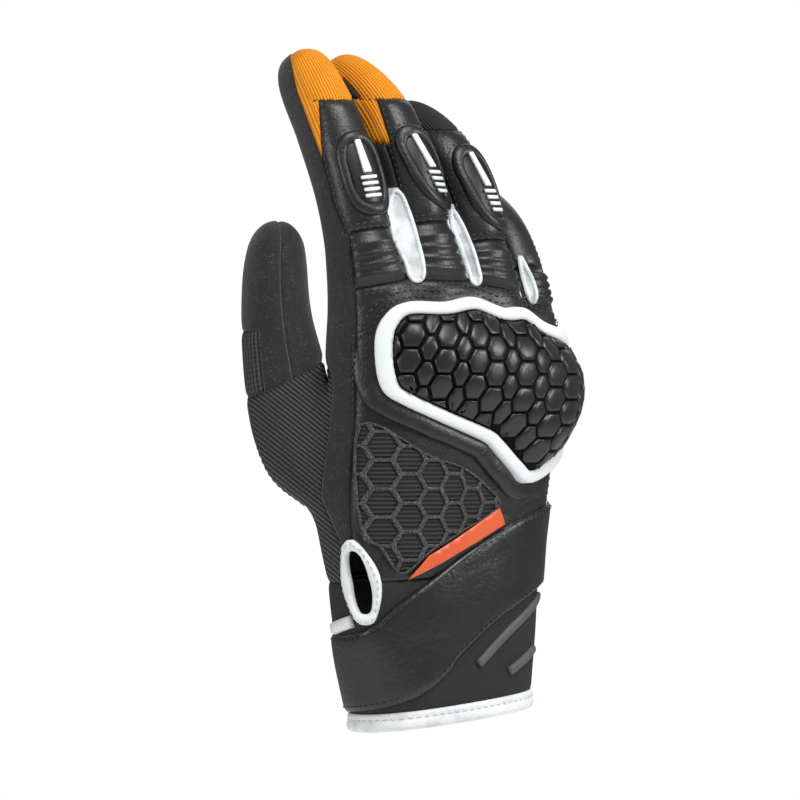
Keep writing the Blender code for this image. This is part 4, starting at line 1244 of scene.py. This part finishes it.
strap_line = smooth_line(turned(STRAP_LINE), 12, False)
strap = sweep(strap_line, strap_section(), False, on_hand)
strap.normal_update()
for corner in strap.verts:
    rise = noise.noise(corner.co * 60) * 0.00045 - ridge(corner.co, 60) * 0.0001
    corner.co += corner.normal * rise
add_piece("wrist_strap_leather", strap, strap_leather, "leather", ["wrist_strap"])
for name, table in (("cuff_bar_long", LONG_BAR), ("cuff_bar_short", SHORT_BAR)):
    line = smooth_line(turned(table), 10, False)
    add_piece(name + "_rubber", sweep(line, domed(0.0031, 0.0011, 0.0004), False, on_hand),
              bar_rubber, "grey_rubber", [name])
print("blade, strap and two bars are on")

# %% [markdown]
# ## Finger inserts
# Over three fingers sits a padded oval of leather round a black recess, and in it a white piece:
# a tapered bar above four short stripes.

# %% Inserts
INSERT_PLACES = {"index": 0.195, "middle": 0.175, "ring": 0.200}
INSERT_SHIFTS = {"index": (0.0, 0.06), "middle": (0.0038, 0.36), "ring": (0.0042, 0.20)}
INSERT_LENGTH, INSERT_WIDTH, INSERT_RIM = 0.0285, 0.0205, 0.0040
BAR_SEAT, STRIPE_PITCH = 0.0010, 0.0020


def oval(name, margin, count=48):
    """The outline of a finger's insert, larger by the margin, in the finger's flat pattern."""
    middle = INSERT_PLACES[name] * FINGERS[name][0]
    made = []
    for step in range(count):
        turn = -TURN * step / count
        across, along = (math.copysign(abs(value) ** 0.8, value)
                         for value in (math.cos(turn), math.sin(turn)))
        made.append((across * (INSERT_WIDTH + margin) / 2,
                     along * (INSERT_LENGTH + margin) / 2 + middle))
    return made


def white_bar(bm, middle, half_low, half_high, low, high, rise):
    """A small block with rounded edges, wider below."""
    block = bmesh.ops.create_cube(bm, size=1)["verts"]
    for corner in block:
        half = half_low if corner.co.y < 0 else half_high
        corner.co = (corner.co.x * 2 * half, middle + (low if corner.co.y < 0 else high),
                     rise + (corner.co.z + 0.5) * 0.0012)
    edges = {edge for corner in block for edge in corner.link_edges}
    bmesh.ops.bevel(bm, geom=list(edges), offset=0.00035, offset_type="OFFSET", segments=2,
                    profile=0.5, affect="EDGES", material=-1)


def on_insert(name):
    """The finger's wrapping, turned a little outwards and leaning, as the inserts are."""
    shift, lean = INSERT_SHIFTS[name]
    middle, wrapped = INSERT_PLACES[name] * FINGERS[name][0], on_finger(name)
    return lambda across, along, rise: wrapped(across + shift - lean * (along - middle),
                                               along, rise)


for name, share in INSERT_PLACES.items():
    place = on_insert(name)
    middle = share * FINGERS[name][0]
    bezel = sweep(oval(name, -INSERT_RIM), domed(INSERT_RIM, 0.0022, 0.0), True, place)
    add_piece(name + "_insert_bezel", bezel, back_leather, "black_rubber", [name + "_insert"])
    recess = flat_sheet(oval(name, -1.5 * INSERT_RIM), 0.0020, 0.0009, triangles=False)
    add_piece(name + "_insert_recess", wrap(recess, place), recess_rubber, "black_rubber",
              [name + "_insert"], wall=0.0005)
    bars = bmesh.new()
    white_bar(bars, middle, 0.0016, 0.0010, -0.0002, 0.0108, BAR_SEAT)
    for stripe in range(4):
        top = -STRIPE_PITCH * (stripe + 0.5)
        white_bar(bars, middle - 0.0002, 0.0031, 0.0031, top - 0.0011, top, BAR_SEAT)
    add_piece(name + "_insert_bars", wrap(bars, place), rim_rubber, "white_rubber",
              [name + "_bars"])
print("inserts:", len(INSERT_PLACES))

# %% [markdown]
# ## Bindings
# The hem and the slit are bound with white cloth: a strip folded over the edge and stitched
# through. Each is a section carried round the open border of the skin.


# %% Bindings of hem and slit
def follow(waiting, chain):
    """Lengthen a chain of corners along the waiting edges, and take them out."""
    while True:
        beyond = [item for item in chain[-1].link_edges if item in waiting]
        if not beyond:
            return chain
        waiting.remove(beyond[0])
        chain.append(beyond[0].other_vert(chain[-1]))


def border_loops(bm):
    """The open borders as loops of corners, the lowest first."""
    waiting = {edge for edge in bm.edges if edge.is_boundary}
    loops = []
    while waiting:
        edge = min(waiting, key=lambda item: item.index)
        waiting.remove(edge)
        loops.append(follow(waiting, list(edge.verts))[:-1])
    return sorted(loops, key=lambda loop: sum(corner.co.z for corner in loop) / len(loop))


def level_out(corner):
    """The level direction out of the cloth."""
    return Vector((corner.normal.x, corner.normal.y, 0)).normalized()


skin.edges.index_update()
hem, slit = border_loops(skin)
HEM_SECTION = ((0.0002, 0.0004), (0.0009, 0.0000), (0.0011, -0.0012), (0.0007, -0.0019),
               (0.0011, -0.0026), (0.0014, -0.0042), (0.0009, -0.0057), (-0.0004, -0.0062),
               (-0.0017, -0.0060), (-0.0026, -0.0048), (-0.0025, -0.0020), (-0.0018, 0.0003))
rings = []
for corner in hem[::2]:
    rings.append([corner.co + level_out(corner) * shift + Vector((0, 0, rise))
                  for shift, rise in HEM_SECTION])
add_piece("hem_binding_cloth", loft(rings, True), binding_cloth, "white_binding", ["hem_binding"])
hem_line = [(corner.co + level_out(corner) * 0.0008 + Vector((0, 0, -0.0019)),
             corner.normal.copy()) for corner in hem]

slit_middle = sum((corner.co for corner in slit), Vector()) / len(slit)
slit_section = domed(0.0040, 0.0022, -0.0002)
rings, slit_line = [], []
for corner in slit[::2]:
    out = corner.normal.normalized()
    away = corner.co - slit_middle
    away = (away - away.project(out)).normalized()
    rings.append([corner.co + away * (shift + 0.0008) + out * rise
                  for shift, rise in slit_section])
    slit_line.append((corner.co + away * 0.0018 + out * 0.0019, out.copy()))
add_piece("slit_binding_cloth", loft(rings, True), binding_cloth, "white_binding",
          ["slit_binding"])
print("hem corners:", len(hem), "slit corners:", len(slit))

# %% [markdown]
# ## White folds between the fingers
# The white sides come out between the fingers and end in rounded tongues over the accordion
# folds, with a turned edge. Each tongue is drawn flat as the camera sees it and laid on the skin
# along the line of sight; its depth is then evened out, as in taut cloth, and a round edge
# follows its border.

# %% Tongues of the white sides
TONGUES = {
    "index_middle": ((-16.6, 189.0), (-13.9, 187.8), (-11.6, 182.6), (-9.6, 176.8), (-7.9, 170.4),
                     (-6.4, 164.6), (-5.9, 159.5), (-7.2, 157.2), (-9.4, 157.2), (-11.2, 159.2),
                     (-12.3, 163.0), (-14.4, 167.0), (-16.4, 171.6), (-17.6, 176.4),
                     (-18.4, 182.0)),
    "middle_ring": ((4.4, 182.6), (6.9, 179.4), (9.4, 174.2), (11.9, 168.0), (13.6, 162.0),
                    (14.4, 158.0), (13.4, 156.0), (11.6, 156.6), (10.3, 160.6), (8.6, 166.4),
                    (6.4, 172.2), (4.4, 177.6)),
    "ring_little": ((29.0, 166.4), (31.2, 162.6), (33.6, 157.4), (34.8, 152.6), (33.9, 149.8),
                    (32.4, 150.6), (31.2, 154.8), (29.8, 160.2)),
}


TAUT_ROUNDS, FOLD_RADIUS = 40, 0.0008


def before_skin(right, up):
    """How far before the middle plane the skin lies at a point as seen."""
    hit, out, _, _ = fine_tree.ray_cast(seen(right, up, 0.3), -towards_camera)
    return hit.dot(towards_camera) if hit and out.dot(towards_camera) > 0 else None


for name, table in TONGUES.items():
    outline = smooth_line([(right / 1000, up / 1000) for right, up in table], 4, True)
    tongue = flat_sheet(outline, 0.0011)
    floors = [before_skin(corner.co.x, corner.co.y) for corner in tongue.verts]
    lowest = min(depth for depth in floors if depth is not None)
    floors = [lowest if depth is None else depth for depth in floors]
    depths = list(floors)
    tongue.verts.index_update()
    around = [[edge.other_vert(corner).index for edge in corner.link_edges]
              for corner in tongue.verts]
    for _ in range(TAUT_ROUNDS):
        depths = [max(lowest_here, sum(depths[number] for number in near) / len(near))
                  for lowest_here, near in zip(floors, around)]
    for corner, depth in zip(tongue.verts, depths):
        corner.co = seen(corner.co.x, corner.co.y,
                         depth + 0.0005 + noise.noise(corner.co * 260) * 0.0004)
    tongue.normal_update()
    border = border_loops(tongue)[0]
    rings = []
    for step, corner in enumerate(border):
        run = (border[(step + 1) % len(border)].co - border[step - 1].co).normalized()
        out = towards_camera
        side = run.cross(out).normalized()
        ways = [side * math.cos(turn) + out * math.sin(turn)
                for turn in (TURN * part / 8 for part in range(8))]
        rings.append([corner.co + way * FOLD_RADIUS for way in ways])
    add_piece(name + "_fold_cloth", loft(rings, True), binding_cloth, "white_stretch", [])
    add_piece(name + "_tongue_cloth", tongue, tongue_cloth, "white_stretch", [], wall=0.0004)
print("tongues:", len(TONGUES))


# %% Tail of the slit's binding
def band_as_seen(points, section):
    """A band on the skin along a line that is given as the camera sees it, in mm."""
    line = smooth_line([(right / 1000, up / 1000) for right, up in points], 6, False)
    spots = []
    for right, up in line:
        depth = before_skin(right, up)
        if depth is not None:
            spots.append(seen(right, up, depth))
    rings = []
    for step, spot in enumerate(spots):
        run = (spots[min(step + 1, len(spots) - 1)] - spots[max(step - 1, 0)]).normalized()
        out = fine_tree.find_nearest(spot)[1]
        side = run.cross(out).normalized()
        rings.append([spot + side * shift + out * rise for shift, rise in section])
    return loft(rings, False)


SLIT_TAIL = ((-37.3, 33.0), (-35.4, 34.0), (-33.2, 35.0), (-31.0, 35.8))
add_piece("slit_tail_cloth", band_as_seen(SLIT_TAIL, domed(0.0046, 0.0020, 0.0003)), binding_cloth,
          "white_binding", [])
print("the slit's binding has its tail")

# %% [markdown]
# ## Stitches
# Every seam of the real glove shows its thread. One stitch is a small stretched ball, laid along
# a line at even steps. Lines come from the seams between two panels, moved a little to one side,
# or from the flat patterns.


# %% Stitching
def even_steps(line, pitch):
    """Points at even steps along a line of places and outward directions."""
    made, done, wanted = [], 0.0, pitch / 2
    for (here, out), (after, _) in zip(line, line[1:]):
        run = after - here
        length = run.length
        while length > 1e-9 and done + length >= wanted:
            made.append((here + run * ((wanted - done) / length), run / length, out))
            wanted += pitch
        done += length
    return made


STITCH_PITCH, STITCH_LENGTH, THREAD_RADIUS = 0.0026, 0.0018, 0.00034


def sew(bm, line, pitch=STITCH_PITCH, length=STITCH_LENGTH, thick=THREAD_RADIUS):
    """Add the stitches of a line to a bmesh."""
    for place, along, out in even_steps(line, pitch):
        side = along.cross(out).normalized()
        turn = Matrix((along * length / 2, side * thick, out.normalized() * thick)).transposed()
        bmesh.ops.create_icosphere(bm, subdivisions=1, radius=1,
                                   matrix=Matrix.Translation(place) @ turn.to_4x4())


def seam_chains(first, second):
    """The seams between two panels, as chains of skin corners."""
    numbers = {PANEL_NAMES.index(first), PANEL_NAMES.index(second)}
    waiting = {edge for edge in skin.edges if len(edge.link_faces) == 2
               and {face.material_index for face in edge.link_faces} == numbers}
    chains = []
    while waiting:
        ends = [edge for edge in waiting
                if any(sum(item in waiting for item in corner.link_edges) == 1
                       for corner in edge.verts)]
        edge = min(ends or waiting, key=lambda item: item.index)
        waiting.remove(edge)
        chain = list(edge.verts)
        if any(item in waiting for item in chain[0].link_edges):
            chain.reverse()
        chains.append(follow(waiting, chain))
    return chains


SHORTEST_SEAM = 10


def seam_lines(sewn, other, shift):
    """Lines on a panel at a distance from its seam with another one."""
    number = PANEL_NAMES.index(sewn)
    made = []
    for chain in seam_chains(sewn, other):
        if len(chain) < SHORTEST_SEAM:
            continue
        line = []
        for step, corner in enumerate(chain):
            run = chain[min(step + 2, len(chain) - 1)].co - chain[max(step - 2, 0)].co
            inward = run.cross(corner.normal).normalized()
            own = [face.calc_center_median() for face in corner.link_faces
                   if face.material_index == number]
            if own and inward.dot(own[0] - corner.co) < 0:
                inward = -inward
            spot = corner.co + inward * shift + corner.normal * 0.0003
            line.append((fine_tree.find_nearest(spot)[0] - corner.normal * 0.00004,
                         corner.normal.copy()))
        made.append(line)
    return made


def pattern_line(points, place, rise):
    """A line of the flat pattern laid on the glove."""
    spots = [place(across, up, rise) for across, up in points]
    return [(spot, fine_tree.find_nearest(spot)[1]) for spot in spots]


ONE_ROW, TWO_ROWS = (0.0013,), (0.0008, 0.0026)   # distances from the seam
SEWN = (
    # panels that are sewn and the panel beside each, in the order of sewing
    (ONE_ROW, (
        ("back_leather", "side_panel"), ("index_back", "side_panel"), ("index_back", "index_tip"),
        ("middle_back", "middle_tip"), ("ring_back", "ring_tip"), ("little_back", "little_tip"),
        ("index_flex", "side_panel"), ("index_back", "index_middle_side"),
        ("middle_back", "index_middle_side"), ("middle_back", "middle_ring_side"),
        ("ring_back", "middle_ring_side"), ("ring_back", "ring_little_side"),
        ("little_back", "ring_little_side"), ("little_back", "little_side"),
        ("back_leather", "little_side"))),
    (TWO_ROWS, [(name + "_back", name + "_flex") for name in FINGERS]),
    (TWO_ROWS, [("back_leather", name + "_flex") for name in FINGERS]),
    (ONE_ROW, (("palm", "side_panel"), ("palm", "ribbed_gusset"), ("palm", "little_side"),
               ("cuff", "palm"))),
)
skin.edges.index_update()
thread = bmesh.new()
for shifts, seams in SEWN:
    for sewn, other in seams:
        for shift in shifts:
            for line in seam_lines(sewn, other, shift):
                sew(thread, line)
GUARD_ROW_END = 68   # both rows round the guard end before the padded fold
for away in (0.0016, 0.0040):
    row = beside(guard_outline, RIM_WIDTH / 2 + away, True)[:GUARD_ROW_END]
    sew(thread, pattern_line(row, on_hand, 0.0008))
for across in (-0.0368, -0.0336):
    row = [(across, 0.108 + 0.0012 * step) for step in range(24)]
    sew(thread, pattern_line(row, on_hand, 0.0008))
for name in INSERT_PLACES:
    line = oval(name, 0.0016)
    sew(thread, pattern_line(line + line[:1], on_insert(name), 0.0005), 0.0021, 0.0014)
for shift in (-STRAP_WIDTH / 2 + 0.0016, STRAP_WIDTH / 2 - 0.0016):
    sew(thread, pattern_line(beside(strap_line, shift, False), on_hand, 0.0022), thick=0.00026)
print("dark stitches:", len(thread.verts) // 12)
add_piece("dark_stitches", thread, dark_thread, "leather", [])
white_rows = bmesh.new()
sew(white_rows, hem_line + hem_line[:1], 0.0030, 0.0021)
sew(white_rows, slit_line + slit_line[:1], 0.0026, 0.0017, 0.00035)
add_piece("white_stitches", white_rows, white_thread, "white_binding", [])

# %% [markdown]
# ## Floor and finish
# The floor is a wide pale sheet below the glove.

# %% Floor and finish
FLOOR_REACH, FLOOR_HEIGHT = 1.8, -0.30
floor_mesh = bpy.data.meshes.new("floor")
floor_bm = bmesh.new()
bmesh.ops.create_grid(floor_bm, x_segments=8, y_segments=8, size=FLOOR_REACH)
bmesh.ops.translate(floor_bm, verts=floor_bm.verts, vec=(0, 0, FLOOR_HEIGHT))
floor_bm.to_mesh(floor_mesh)
floor_bm.free()
floor = bpy.data.objects.new("floor", floor_mesh)
bpy.context.scene.collection.objects.link(floor)
floor_paint = Paint("floor_paint", Emission_Strength=0.2)
floor_mesh.materials.append(floor_paint.finish(
    floor_paint.mix(floor_paint.cloud(2, 2), (0.93, 0.93, 0.93, 1), (0.95, 0.95, 0.95, 1)), 0.7))
skin.free()
